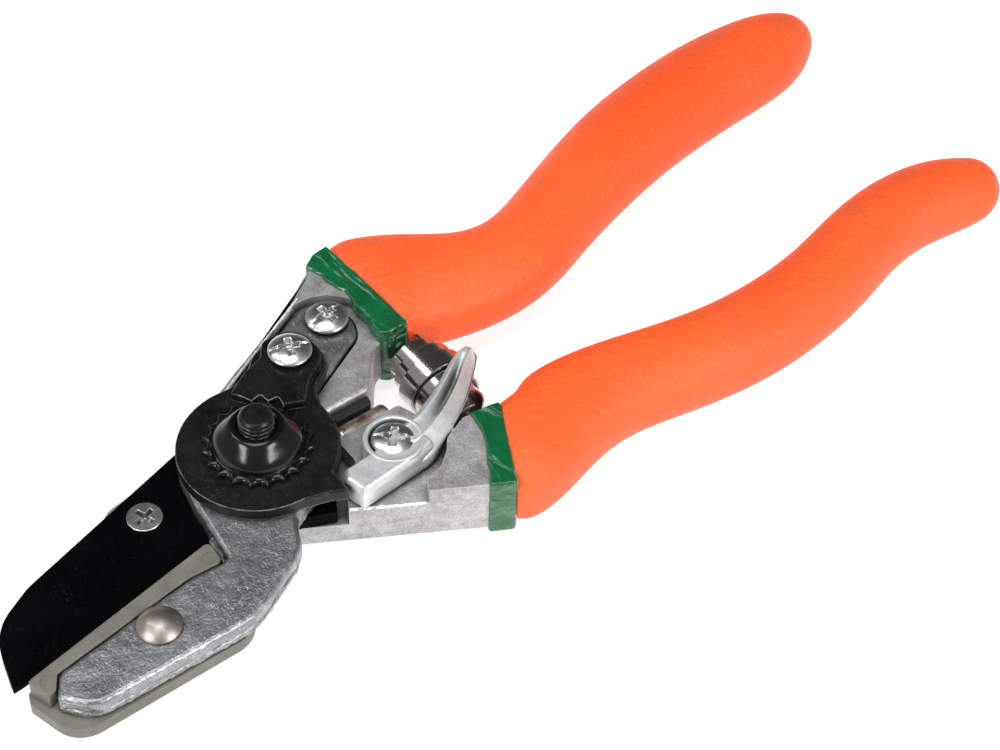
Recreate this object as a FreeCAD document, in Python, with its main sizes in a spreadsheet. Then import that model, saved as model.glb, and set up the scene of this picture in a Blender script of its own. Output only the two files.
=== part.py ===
import FreeCAD, Part
import math
import os
import Sketcher

# Anvil pruning shears lying flat, closed and locked.
# Origin: pivot axis at the flat underside of the pivot bolt head.
# +X runs from the jaws to the handle ends, +Y to the handle that carries the
# jaw piece, +Z up to the nut side.  All sizes in millimetres.

V = FreeCAD.Vector
doc = FreeCAD.newDocument("pruning_shears")
sheet = doc.addObject("Spreadsheet::Sheet", "Sizes")

SIZES = [
    ("head_radius", 8.6), ("head_height", 2.8), ("shank_radius", 3.0),
    ("bolt_top", 25.2), ("bush_radius", 5.0), ("bore_radius", 5.05),
    ("case_bottom", 3.0), ("shelf_top", 8.0), ("floor_top", 12.0), ("case_top", 15.3),
    ("hub_radius", 12.2), ("blade_thick", 3.0), ("jaw_bottom", 11.3), ("jaw_thick", 3.0),
    ("arm_bottom", 10.4), ("plate_bottom", 14.3), ("plate_thick", 2.4), ("disc_radius", 14.4),
    ("plate_top", 16.7), ("retainer_thick", 1.7), ("flange_thick", 1.3), ("nut_top", 22.3),
    ("nut_teeth", 20), ("flange_radius", 9.9), ("valley_radius", 8.5), ("nut_square", 13.6),
    ("lever_bottom", 12.25), ("lever_top", 17.0), ("lever_boss", 5.5),
    ("lever_x", 19.9), ("lever_y", -12.7), ("screw_head", 4.0), ("screw_height", 2.3),
    ("jaw_screw_x", 27.8), ("jaw_screw_y", 19.2), ("plate_screw_x", 15.8),
    ("plate_screw_y", 13.3), ("blade_screw_x", -22.2), ("blade_screw_y", 2.4),
    ("blade_screw_head", 3.2), ("rivet_x", -33.4), ("rivet_y", -20.8), ("rivet_radius", 3.9),
    ("anvil_top", 13.8), ("anvil_base", 7.3), ("pin_radius", 2.2), ("pin_length", 11.0),
    ("spring_x", 37.6), ("spring_low", -12.2), ("spring_high", 8.8), ("spring_big", 6.8),
    ("spring_small", 3.6), ("strip", 0.7), ("grip_half", 7.6), ("grip_mid", 9.2),
    ("skin", 2.0), ("band_skin", 0.5),
]
for row, (name, value) in enumerate(SIZES, start=1):
    sheet.set("A%d" % row, name)
    sheet.set("B%d" % row, str(value))
    sheet.setAlias("B%d" % row, name)
doc.recompute()
S = {name: float(sheet.get(name)) for name, value in SIZES}
NODES = []


# ---------------------------------------------------------------- helpers
def rounded(points):
    """Edges of a closed outline; each point is (x, y) or (x, y, corner radius)."""
    count = len(points)
    spans = []
    for i in range(count):
        here = V(points[i][0], points[i][1], 0)
        radius = points[i][2] if len(points[i]) > 2 else 0
        if not radius:
            spans.append((here, None, here))
            continue
        before = V(points[i - 1][0], points[i - 1][1], 0) - here
        after = V(points[(i + 1) % count][0], points[(i + 1) % count][1], 0) - here
        before.normalize()
        after.normalize()
        half = before.getAngle(after) / 2
        reach = radius / math.tan(half)
        bisect = before + after
        bisect.normalize()
        centre = here + bisect * (radius / math.sin(half))
        spans.append((here + before * reach, centre - bisect * radius, here + after * reach))
    edges = []
    for i in range(count):
        start, middle, end = spans[i]
        if middle is not None:
            edges.append(Part.Arc(start, middle, end))
        nxt = spans[(i + 1) % count][0]
        side = V(*points[(i + 1) % count][:2], 0) - V(*points[i][:2], 0)
        if side.dot(nxt - end) < -1e-6:
            raise ValueError("corner radii overlap between %s and %s" % (
                points[i], points[(i + 1) % count]))
        if end.distanceToPoint(nxt) > 1e-6:
            edges.append(Part.LineSegment(end, nxt))
    return edges


def crown(radius, low, top):
    """Arc of a spherical cap, from its rim to its highest point on the axis."""
    rise = top - low
    ball = (radius * radius + rise * rise) / (2 * rise)
    half = math.asin(radius / ball) / 2
    middle = V(ball * math.sin(half), top - ball * (1 - math.cos(half)), 0)
    return Part.Arc(V(radius, low, 0), middle, V(0, top, 0))


def new_body(label):
    body = doc.addObject("PartDesign::Body", label)
    body.Label = label
    return body


def plane_of(body, role):
    for item in body.Origin.OriginFeatures:
        if item.Role == role:
            return item
    raise ValueError(role)


def flat_sketch(body, name, level, outline=(), circles=()):
    """Sketch parallel to the rest plane at a height from the sheet."""
    sk = body.newObject("Sketcher::SketchObject", name)
    sk.AttachmentSupport = (plane_of(body, "XY_Plane"), [""])
    sk.MapMode = "FlatFace"
    sk.setExpression("AttachmentOffset.Base.z", level)
    if outline:
        sk.addGeometry(rounded(outline), False)
    for cx, cy, radius in circles:
        index = sk.addGeometry(Part.Circle(V(cx, cy, 0), V(0, 0, 1), 1.0), False)
        sk.addConstraint(Sketcher.Constraint("Radius", index, 1.0))
        sk.setExpression("Constraints[%d]" % (sk.ConstraintCount - 1), radius)
    return sk


def pad(body, name, level, length, outline=(), circles=()):
    feature = body.newObject("PartDesign::Pad", name)
    feature.Profile = flat_sketch(body, name + "Sketch", level, outline, circles)
    feature.setExpression("Length", length)
    doc.recompute()
    return feature


def pocket(body, name, level, length, outline=(), circles=()):
    """Cut upwards from a height."""
    feature = body.newObject("PartDesign::Pocket", name)
    feature.Profile = flat_sketch(body, name + "Sketch", level, outline, circles)
    feature.setExpression("Length", length)
    feature.Reversed = True
    doc.recompute()
    return feature


def soften(body, name, size, wanted, kind="Fillet"):
    """Round or bevel the edges of the tip that the test picks."""
    base = body.Tip
    picked = []
    for number, edge in enumerate(base.Shape.Edges, start=1):
        if wanted(edge):
            picked.append("Edge%d" % number)
    feature = body.newObject("PartDesign::" + kind, name)
    feature.Base = (base, picked)
    if kind == "Fillet":
        feature.Radius = size
    else:
        feature.Size = size
    doc.recompute()
    return feature


def level_edge(height, inside=None):
    """Test for edges that lie flat at a height, optionally within a region."""
    def test(edge):
        box = edge.BoundBox
        if abs(box.ZMin - height) > 1e-4 or abs(box.ZMax - height) > 1e-4:
            return False
        return inside is None or inside(box.Center)
    return test


def plain(label, shape):
    part = doc.addObject("Part::Feature", label)
    part.Label = label
    part.Shape = shape
    return part


def keep(part, label):
    part.Label = label
    NODES.append(part)
    return part


def disc(label, cx, cy, level, radius, height):
    item = doc.addObject("Part::Cylinder", label)
    item.setExpression("Radius", radius)
    item.setExpression("Height", height)
    item.setExpression("Placement.Base.x", cx)
    item.setExpression("Placement.Base.y", cy)
    item.setExpression("Placement.Base.z", level)
    return item


def cut(label, base, tool):
    item = doc.addObject("Part::Cut", label)
    item.Base = base
    item.Tool = tool
    return item


def fuse(label, shapes):
    item = doc.addObject("Part::MultiFuse", label)
    item.Shapes = shapes
    return item


# ---------------------------------------------------------------- handle grips
# Stations along each handle: x, y, heading in degrees, half width, squareness.
LOWER_STATIONS = [
    (36.6, -24.0, -28, 10.6, 3.2), (42.0, -24.2, -19, 10.9, 2.8), (49.0, -22.1, -4, 10.5, 2.5),
    (60.0, -21.3, -4, 9.6, 2.2), (75.0, -24.1, -9, 9.1, 2.1), (90.0, -26.2, -5, 9.0, 2.0),
    (102.0, -25.9, 5, 8.7, 2.0), (115.0, -23.7, 14, 8.4, 2.0), (127.0, -20.6, 10, 8.2, 2.0),
    (140.0, -19.8, -3, 8.1, 2.0), (148.5, -21.9, -18, 7.5, 2.0), (154.5, -24.2, -26, 6.1, 2.0),
    (157.6, -25.8, -28, 3.9, 2.0), (158.9, -26.5, -30, 1.6, 2.0),
]
UPPER_STATIONS = [
    (38.6, 21.6, 2, 12.6, 3.2), (43.5, 22.1, -7, 13.0, 2.9), (50.0, 19.3, -18, 12.1, 2.5),
    (59.5, 15.7, -12, 10.3, 2.2), (69.0, 15.6, 7, 9.3, 2.1), (80.0, 19.1, 18, 9.1, 2.0),
    (92.0, 23.5, 19, 9.6, 2.0), (105.0, 27.5, 15, 10.3, 2.0), (118.0, 30.1, 8, 10.7, 2.0),
    (131.0, 31.5, 3, 10.8, 2.0), (142.0, 31.9, 3, 10.2, 2.0), (150.5, 32.4, 4, 8.5, 2.0),
    (156.0, 33.1, 8, 6.0, 2.0), (158.9, 33.7, 10, 3.2, 2.0), (159.9, 34.0, 10, 1.3, 2.0),
]


def ring(station, half_height, shrink):
    """Closed curve across the handle at one station."""
    x, y, heading, half_width, square = station
    turn = math.radians(heading + 90)
    wide = max(half_width - shrink, 0.5)
    tall = max(min(half_height, half_width * 0.95) - shrink, 0.5)
    points = []
    for step in range(24):
        angle = 2 * math.pi * step / 24
        c = math.cos(angle)
        s = math.sin(angle)
        across = wide * math.copysign(abs(c) ** (2 / square), c)
        up = tall * math.copysign(abs(s) ** (2 / square), s)
        points.append(V(x + across * math.cos(turn), y + across * math.sin(turn), S["grip_mid"] + up))
    curve = Part.BSplineCurve()
    curve.interpolate(Points=points, PeriodicFlag=True)
    return Part.Wire([curve.toShape()])


def handle_loft(stations, shrink):
    rings = [ring(station, S["grip_half"], shrink) for station in stations]
    return Part.makeLoft(rings, True, False)


# ---------------------------------------------------------------- lower handle
def lower_handle():
    body = new_body("lower_casting_block")
    pad(body, "Base", "Sizes.case_bottom", "Sizes.shelf_top - Sizes.case_bottom", [
        (-29.6, 9.0, 6), (-28.6, -4.4, 6), (-12.5, -6.0, 8), (-3.5, -12.1, 9), (0.2, -14.2, 3),
        (32.2, -32.4), (40.7, -16.4), (31.5, -14.6, 3), (27.5, -1.0, 2), (13.6, -1.0, 1),
        (12.4, 4.6, 5), (6.0, 12.2, 9), (-6.0, 12.2, 9)])
    pad(body, "Ledge", "Sizes.shelf_top", "Sizes.floor_top - Sizes.shelf_top", [
        (6.6, -17.84), (32.2, -32.4), (40.7, -16.4), (31.5, -14.6, 3), (27.5, -3.4, 1),
        (13.9, -3.4, 1), (13.9, -10.0, 3), (9.0, -13.6, 3)])
    pad(body, "Top", "Sizes.floor_top", "Sizes.case_top - Sizes.floor_top", [
        (18.6, -24.665, 0.6), (32.2, -32.4), (40.7, -16.4), (33.4, -14.9, 1.5),
        (28.4, -17.0, 2), (26.4, -19.4, 2), (23.6, -21.6, 3), (20.0, -22.4, 1)])
    pocket(body, "Bore", "Sizes.case_bottom", "Sizes.case_top", (), [(0, 0, "Sizes.bore_radius")])
    pocket(body, "BladeScrewHole", "Sizes.case_bottom", "Sizes.shelf_top",
           (), [(S["blade_screw_x"], S["blade_screw_y"], "1.8")])
    pocket(body, "LockScrewHole", "Sizes.case_bottom + 2", "Sizes.case_top",
           (), [(S["lever_x"], S["lever_y"], "1.9")])
    soften(body, "FootEdge", 0.8, level_edge(S["case_bottom"], lambda p: abs(p.x) > 6 or abs(p.y) > 6))
    peg = seat_peg("lower_seat_peg", S["spring_low"] - 4.2, -90)
    core = plain("lower_core", handle_loft([(34.5, -23.3, -28, 9.6, 3.2)] + LOWER_STATIONS[:11], S["skin"]))
    groove = cut("lower_groove", body, pin_solid("pin_seat_tool", S["pin_radius"] + 0.02))
    return fuse("lower_handle_casting", [groove, core, peg])


def seat_peg(label, along, turn):
    """Short round peg that centres one end of the spring."""
    peg = doc.addObject("Part::Cylinder", label)
    peg.Radius = 2.2
    peg.Height = 3.5
    peg.Placement = FreeCAD.Placement(V(S["spring_x"], along, S["grip_mid"]),
                                      FreeCAD.Rotation(V(1, 0, 0), turn))
    return peg


def pin_solid(label, radius):
    bar = doc.addObject("Part::Cylinder", label)
    bar.Radius = radius
    bar.setExpression("Height", "Sizes.pin_length")
    bar.Placement = FreeCAD.Placement(V(14.8, -2.5, 9.9), FreeCAD.Rotation(V(0, 1, 0), 90))
    return bar


def bumper_pin():
    bar = pin_solid("pin_bar", S["pin_radius"])
    doc.recompute()
    soft = doc.addObject("Part::Fillet", "bumper_pin")
    soft.Base = bar
    soft.Edges = [(number, 0.9, 0.9) for number, edge in enumerate(bar.Shape.Edges, start=1)
                  if edge.Closed]
    return soft


# ---------------------------------------------------------------- upper handle
def upper_handle():
    body = new_body("upper_casting_block")
    pad(body, "Block", "Sizes.case_bottom", "13.2 - Sizes.case_bottom", [
        (2.0, 14.6), (27.0, 26.8, 6), (34.5, 33.0, 4), (38.2, 33.8), (39.0, 10.0),
        (32.0, 10.2, 5), (26.4, 3.0, 5), (24.6, 2.0, 1), (14.6, 2.0, 1), (12.0, 6.0)])
    soften(body, "BossEdge", 0.9, level_edge(13.2, lambda p: p.y < 10 and p.x < 37))
    pad(body, "Rim", "13.2", "Sizes.case_top - 13.2", [
        (2.0, 14.6), (27.0, 26.8, 6), (34.5, 33.0, 4), (38.2, 33.8), (39.0, 10.0),
        (34.6, 11.2, 2), (35.0, 20.0, 8), (27.5, 27.2, 8), (2.6, 13.8)])
    pocket(body, "TangSeat", "Sizes.jaw_bottom", "Sizes.case_top", [
        (-4.0, 11.2), (24.7, 25.5, 6.1), (34.1, 20.0, 5.6), (30.5, 12.9, 4.6), (11.0, 3.2), (-4, 0)])
    pocket(body, "HubRoom", "Sizes.case_bottom", "Sizes.jaw_bottom - Sizes.case_bottom",
           (), [(0, 0, "16.6")])
    pocket(body, "BossRoom", "Sizes.jaw_bottom", "Sizes.case_top", (), [(0, 0, "14.5")])
    pocket(body, "JawScrewHole", "Sizes.case_bottom + 2", "Sizes.case_top",
           (), [(S["jaw_screw_x"], S["jaw_screw_y"], "1.9")])
    soften(body, "FootEdge", 0.8, level_edge(S["case_bottom"], lambda p: p.x > 20))
    core = plain("upper_core", handle_loft([(36.0, 21.5, 2, 12.0, 3.2)] + UPPER_STATIONS[:12], S["skin"]))
    peg = seat_peg("upper_seat_peg", S["spring_high"] + 4.2, 90)
    return fuse("upper_handle_casting", [body, core, peg])


def rubber_bumper():
    body = new_body("rubber_bumper")
    pad(body, "Block", "7.0", "4.6", [(16.0, 2.0), (24.6, 2.0), (24.2, 0.1, 0.8), (16.4, 0.1, 0.8)])
    return body


# ---------------------------------------------------------------- grips and bands
def grip(label, stations, core_name):
    outer = plain(label + "_outer", handle_loft(stations, 0))
    return cut(label, outer, doc.getObject(core_name))


def band(label, outline, block_name, peg_name):
    body = new_body(label + "_blank")
    pad(body, "Wrap", "Sizes.case_bottom - Sizes.band_skin",
        "Sizes.case_top - Sizes.case_bottom + 2 * Sizes.band_skin", outline)
    soften(body, "WrapTop", 0.45, level_edge(S["case_top"] + S["band_skin"]))
    soften(body, "WrapFoot", 0.45, level_edge(S["case_bottom"] - S["band_skin"]))
    core = fuse(label + "_core", [doc.getObject(block_name), doc.getObject(peg_name)])
    return cut(label, body, core)


# ---------------------------------------------------------------- jaw side
def jaw_piece():
    body = new_body("jaw_piece")
    pad(body, "Plate", "Sizes.jaw_bottom", "Sizes.jaw_thick", [
        (-13.2, 6.0, 8), (-15.1, -3.0, 3), (-16.8, -15.7, 0.8), (-24.0, -15.2, 6), (-34.0, -16.5, 20),
        (-51.5, -18.9, 3), (-54.5, -23.2, 1.8), (-49.8, -28.3, 6), (-19.5, -28.8, 12),
        (-5.4, -21.7, 10), (-2.4, -15.4, 2), (3.0, -13.0, 6), (13.3, -7.0, 9), (13.2, 4.6, 4),
        (30.4, 13.2, 4.5), (33.9, 20.0, 5.5), (24.6, 25.2, 6.0), (-2.5, 11.7, 5), (-10.5, 9.0, 5)])
    pad(body, "Arm", "Sizes.arm_bottom", "Sizes.jaw_bottom - Sizes.arm_bottom", [
        (-16.8, -15.7, 0.8), (-24.0, -15.2, 6), (-34.0, -16.5, 20), (-51.5, -18.9, 3),
        (-54.5, -23.2, 1.8), (-49.8, -28.3, 6), (-19.5, -28.8, 12), (-5.4, -21.7, 4),
        (-6.0, -17.0, 1), (-15.2, -10.8, 1)])
    pocket(body, "Bore", "Sizes.arm_bottom", "20", (), [(0, 0, "Sizes.bush_radius + 0.02")])
    pocket(body, "JawScrewHole", "Sizes.arm_bottom", "20",
           (), [(S["jaw_screw_x"], S["jaw_screw_y"], "2.05")])
    pocket(body, "PlateScrewHole", "Sizes.jaw_bottom", "20",
           (), [(S["plate_screw_x"], S["plate_screw_y"], "1.9")])
    pocket(body, "RivetHole", "Sizes.arm_bottom", "20",
           (), [(S["rivet_x"], S["rivet_y"], "2.02")])
    soften(body, "TopEdge", 0.7, level_edge(
        S["plate_bottom"], lambda p: p.x < 0 and math.hypot(p.x, p.y) > 14
        and abs(p.x - S["rivet_x"]) > 2.1))
    return body


def anvil():
    body = new_body("anvil")
    pad(body, "BaseStrip", "Sizes.anvil_base", "Sizes.arm_bottom - Sizes.anvil_base", [
        (-17.1, -10.35, 1.0), (-56.4, -17.0, 1), (-57.2, -19.0, 1), (-54.4, -28.9, 6),
        (-20.4, -28.9, 6), (-16.4, -23.5, 2), (-17.3, -15.6, 2)])
    pad(body, "Strip", "Sizes.arm_bottom", "Sizes.anvil_top - Sizes.arm_bottom", [
        (-17.1, -10.35, 1.0), (-56.4, -17.1, 0.8), (-54.9, -21.7, 0.3), (-53.3, -21.2),
        (-51.6, -18.7), (-34.0, -16.3), (-24.0, -15.0), (-18.3, -15.35, 0.5), (-17.5, -14.6, 0.4)])
    soften(body, "TopEdge", 0.3, level_edge(S["anvil_top"], lambda p: p.y > -18.0 and p.x > -57))
    pocket(body, "RivetHole", "Sizes.anvil_base", "20",
           (), [(S["rivet_x"], S["rivet_y"], "2.02")])
    soften(body, "FootEdge", 0.7, level_edge(
        S["anvil_base"], lambda p: abs(p.x - S["rivet_x"]) > 2.1 or abs(p.y - S["rivet_y"]) > 2.1))
    pocket(body, "EjectorMarks", "Sizes.anvil_top - 0.15", "1",
           (), [(-19.1, -13.6, "1.3"), (-53.6, -19.1, "1.25")])
    return body


def anvil_rivet():
    body = new_body("anvil_rivet")
    sk = body.newObject("Sketcher::SketchObject", "Profile")
    sk.AttachmentSupport = (plane_of(body, "XZ_Plane"), [""])
    sk.MapMode = "FlatFace"
    top = S["plate_bottom"]
    radius = S["rivet_radius"]
    low = S["anvil_base"] - 0.7
    sk.addGeometry([
        Part.LineSegment(V(0, low, 0), V(3.2, low, 0)),
        Part.LineSegment(V(3.2, low, 0), V(3.2, low + 0.7, 0)),
        Part.LineSegment(V(3.2, low + 0.7, 0), V(2.0, low + 0.7, 0)),
        Part.LineSegment(V(2.0, low + 0.7, 0), V(2.0, top, 0)),
        Part.LineSegment(V(2.0, top, 0), V(radius, top, 0)),
        Part.LineSegment(V(radius, top, 0), V(radius, top + 0.35, 0)),
        crown(radius, top + 0.35, top + 2.1),
        Part.LineSegment(V(0, top + 2.1, 0), V(0, low, 0))], False)
    turn = body.newObject("PartDesign::Revolution", "Turn")
    turn.Profile = sk
    turn.ReferenceAxis = (sk, ["V_Axis"])
    turn.Angle = 360
    doc.recompute()
    body.setExpression("Placement.Base.x", "Sizes.rivet_x")
    body.setExpression("Placement.Base.y", "Sizes.rivet_y")
    return body


# ---------------------------------------------------------------- blade
def blade():
    body = new_body("blade_blank")
    pad(body, "Plate", "Sizes.shelf_top", "Sizes.blade_thick", [
        (0.0, 14.2, 11), (-46.0, 1.2, 10), (-55.0, -3.4, 11), (-58.2, -15.35),
        (-56.5, -15.35), (-15.6, -9.7), (-13.0, -9.4, 4), (-4.4, -12.3, 6), (3.6, -15.6, 0.6),
        (5.2, -16.4, 0.6), (7.2, -12.6, 3), (11.6, -7.0, 6), (13.0, 6.0, 9)])
    bevel_edge(body)
    pocket(body, "Bore", "Sizes.shelf_top", "20", (), [(0, 0, "Sizes.bore_radius")])
    pocket(body, "ScrewHole", "Sizes.shelf_top", "20",
           (), [(S["blade_screw_x"], S["blade_screw_y"], "1.85")])
    sink = doc.addObject("Part::Cone", "blade_sink")
    sink.Radius1 = 1.85
    sink.setExpression("Radius2", "Sizes.blade_screw_head + 0.02")
    sink.Height = 1.6
    sink.setExpression("Placement.Base.x", "Sizes.blade_screw_x")
    sink.setExpression("Placement.Base.y", "Sizes.blade_screw_y")
    sink.setExpression("Placement.Base.z", "Sizes.shelf_top + Sizes.blade_thick - 1.6")
    return cut("blade", body, sink)


def bevel_edge(body):
    """Hollow the underside so that the cutting edge is thin."""
    along = V(-56.5 + 15.6, -15.35 + 9.7, 0)
    heading = math.degrees(math.atan2(along.y, along.x))
    sk = body.newObject("Sketcher::SketchObject", "BevelSketch")
    sk.AttachmentSupport = (plane_of(body, "XY_Plane"), [""])
    sk.MapMode = "FlatFace"
    sk.AttachmentOffset = FreeCAD.Placement(
        V(-13.0, -9.34, S["shelf_top"]),
        FreeCAD.Rotation(V(0, 0, 1), heading) * FreeCAD.Rotation(V(0, 1, 0), 90))
    sk.addGeometry([
        Part.LineSegment(V(0.2, 0.6, 0), V(0.2, -3.6, 0)),
        Part.LineSegment(V(0.2, -3.6, 0), V(-2.2, 0.6, 0)),
        Part.LineSegment(V(-2.2, 0.6, 0), V(0.2, 0.6, 0))], False)
    feature = body.newObject("PartDesign::Pocket", "Bevel")
    feature.Profile = sk
    feature.Length = 60
    feature.Reversed = True
    doc.recompute()
    return feature


# ---------------------------------------------------------------- pivot stack
def lock_plate():
    body = new_body("lock_plate")
    pad(body, "Disc", "Sizes.plate_bottom", "Sizes.plate_thick", (), [(0, 0, "Sizes.disc_radius")])
    pad(body, "Lobe", "Sizes.plate_bottom", "Sizes.plate_thick", [
        (0.0, 14.2), (7.0, 14.7, 8), (11.5, 19.1, 5.4), (21.6, 19.1, 5.4), (21.6, 9.0, 5.4),
        (16.0, 5.6, 5), (12.6, -2.6, 5), (10.6, -7.4, 4), (7.4, -9.4, 0.5), (7.3, -17.6, 0.5),
        (4.2, -16.0, 1.5), (-4.6, -13.3), (0, 0)])
    pocket(body, "Bore", "Sizes.plate_bottom", "10", (), [(0, 0, "Sizes.shank_radius + 0.05")])
    pocket(body, "ScrewHole", "Sizes.plate_bottom", "10",
           (), [(S["plate_screw_x"], S["plate_screw_y"], "2.05")])
    soften(body, "Rim", 0.35, level_edge(
        S["plate_top"], lambda p: math.hypot(p.x, p.y) > 7 and p.y < 6), "Chamfer")
    return body


def nut_retainer():
    body = new_body("nut_retainer")
    step = 2 * math.pi / S["nut_teeth"]
    teeth = []
    first = valley_angle() + step * 1
    for number in range(3):
        angle = first + number * step
        for offset, radius in ((-0.42, 10.25), (0.0, 9.05), (0.42, 10.25)):
            turn = angle + offset * step
            teeth.append((radius * math.cos(turn), radius * math.sin(turn)))
    last = first + 2 * step
    outline = teeth + [
        (11.9 * math.cos(last + 0.30), 11.9 * math.sin(last + 0.30), 0.5), (6.8, 14.6, 1),
        (11.0, 15.8, 2), (13.4, 18.9, 2.0), (20.6, 18.6, 4.3), (20.9, 9.6, 4.3), (15.2, 6.4, 2),
        (11.9 * math.cos(first - 0.26), 11.9 * math.sin(first - 0.26), 0.5)]
    pad(body, "Strip", "Sizes.plate_top", "Sizes.retainer_thick", outline)
    pocket(body, "ScrewHole", "Sizes.plate_top", "10",
           (), [(S["plate_screw_x"], S["plate_screw_y"], "2.05")])
    soften(body, "TopEdge", 0.3, level_edge(
        S["plate_top"] + S["retainer_thick"], lambda p: math.hypot(p.x, p.y) > 13
        and math.hypot(p.x - S["plate_screw_x"], p.y - S["plate_screw_y"]) > 2.2))
    return body


def valley_angle():
    return math.radians(9)


def pivot_nut():
    body = new_body("nut_flange")
    count = int(S["nut_teeth"])
    step = 2 * math.pi / count
    outline = []
    for number in range(count):
        angle = valley_angle() + number * step
        outline.append((S["valley_radius"] * math.cos(angle), S["valley_radius"] * math.sin(angle)))
        angle += step / 2
        outline.append((S["flange_radius"] * math.cos(angle), S["flange_radius"] * math.sin(angle)))
    pad(body, "Flange", "Sizes.plate_top", "Sizes.flange_thick", outline)
    dome = new_body("nut_dome")
    sk = dome.newObject("Sketcher::SketchObject", "Profile")
    sk.AttachmentSupport = (plane_of(dome, "XZ_Plane"), [""])
    sk.MapMode = "FlatFace"
    low = S["plate_top"] + 0.2
    top = S["nut_top"]
    sk.addGeometry([
        Part.LineSegment(V(0, low, 0), V(8.7, low, 0)),
        Part.LineSegment(V(8.7, low, 0), V(8.7, low + 1.4, 0)),
        Part.Arc(V(8.7, low + 1.4, 0), V(5.6, low + 2.9, 0), V(4.6, top - 0.5, 0)),
        Part.Arc(V(4.6, top - 0.5, 0), V(4.4, top - 0.12, 0), V(4.0, top, 0)),
        Part.LineSegment(V(4.0, top, 0), V(0, top, 0)),
        Part.LineSegment(V(0, top, 0), V(0, low, 0))], False)
    turn = dome.newObject("PartDesign::Revolution", "Turn")
    turn.Profile = sk
    turn.ReferenceAxis = (sk, ["V_Axis"])
    turn.Angle = 360
    doc.recompute()
    half = S["nut_square"] / 2
    block = new_body("nut_block")
    pad(block, "Square", "Sizes.plate_top", "10", [
        (-half, -half, 3.2), (half, -half, 3.2), (half, half, 3.2), (-half, half, 3.2)])
    block.Placement = FreeCAD.Placement(V(0, 0, 0), FreeCAD.Rotation(V(0, 0, 1), 6))
    shaped = doc.addObject("Part::Common", "nut_shaped")
    shaped.Base = dome
    shaped.Tool = block
    whole = fuse("nut_whole", [body, shaped])
    bore = disc("nut_bore", "0", "0", "Sizes.plate_top - 1", "Sizes.shank_radius + 0.02", "12")
    return cut("pivot_nut", whole, bore)


def pivot_bolt():
    head = disc("bolt_head", "0", "0", "0", "Sizes.head_radius", "Sizes.head_height")
    shank = disc("bolt_shank", "0", "0", "0", "Sizes.shank_radius", "Sizes.bolt_top")
    whole = fuse("bolt_whole", [head, shank])
    doc.recompute()
    soft = doc.addObject("Part::Chamfer", "pivot_bolt")
    soft.Base = whole
    picked = []
    for number, edge in enumerate(whole.Shape.Edges, start=1):
        if level_edge(S["bolt_top"])(edge) or level_edge(0)(edge):
            picked.append((number, 0.5, 0.5))
    soft.Edges = picked
    return soft


def pivot_bush():
    outer = disc("bush_outer", "0", "0", "Sizes.case_bottom", "Sizes.bush_radius",
                 "Sizes.plate_bottom - Sizes.case_bottom")
    inner = disc("bush_inner", "0", "0", "0", "Sizes.shank_radius + 0.03", "30")
    return cut("pivot_bush", outer, inner)


def thrust_washer():
    outer = disc("thrust_outer", "0", "0", "Sizes.jaw_bottom - 0.25", "9.5", "0.25")
    inner = disc("thrust_inner", "0", "0", "0", "Sizes.bush_radius + 0.02", "30")
    return cut("thrust_washer", outer, inner)


# ---------------------------------------------------------------- screws
def pan_screw(label, cx, cy, level, length, shank):
    """Domed head with a cross recess, a slot and a plain shank."""
    body = new_body(label)
    sk = body.newObject("Sketcher::SketchObject", "Profile")
    sk.AttachmentSupport = (plane_of(body, "XZ_Plane"), [""])
    sk.MapMode = "FlatFace"
    radius = S["screw_head"]
    top = S["screw_height"]
    sk.addGeometry([
        Part.LineSegment(V(0, -length, 0), V(shank - 0.5, -length, 0)),
        Part.LineSegment(V(shank - 0.5, -length, 0), V(shank, -length + 0.6, 0)),
        Part.LineSegment(V(shank, -length + 0.6, 0), V(shank, 0, 0)),
        Part.LineSegment(V(shank, 0, 0), V(radius - 0.1, 0, 0)),
        Part.LineSegment(V(radius - 0.1, 0, 0), V(radius, 0.9, 0)),
        crown(radius, 0.9, top),
        Part.LineSegment(V(0, top, 0), V(0, -length, 0))], False)
    turn = body.newObject("PartDesign::Revolution", "Turn")
    turn.Profile = sk
    turn.ReferenceAxis = (sk, ["V_Axis"])
    turn.Angle = 360
    doc.recompute()
    for name, half_long, half_wide, deep in (
            ("CrossA", 2.1, 0.42, 1.5), ("CrossB", 0.42, 2.1, 1.5), ("Slot", 3.4, 0.36, 0.8)):
        pocket(body, name, "%.3f" % (top - deep), "4", [
            (-half_long, -half_wide), (half_long, -half_wide),
            (half_long, half_wide), (-half_long, half_wide)])
    body.Placement = FreeCAD.Placement(V(cx, cy, level), FreeCAD.Rotation(V(0, 0, 1), 20))
    return body


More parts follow.
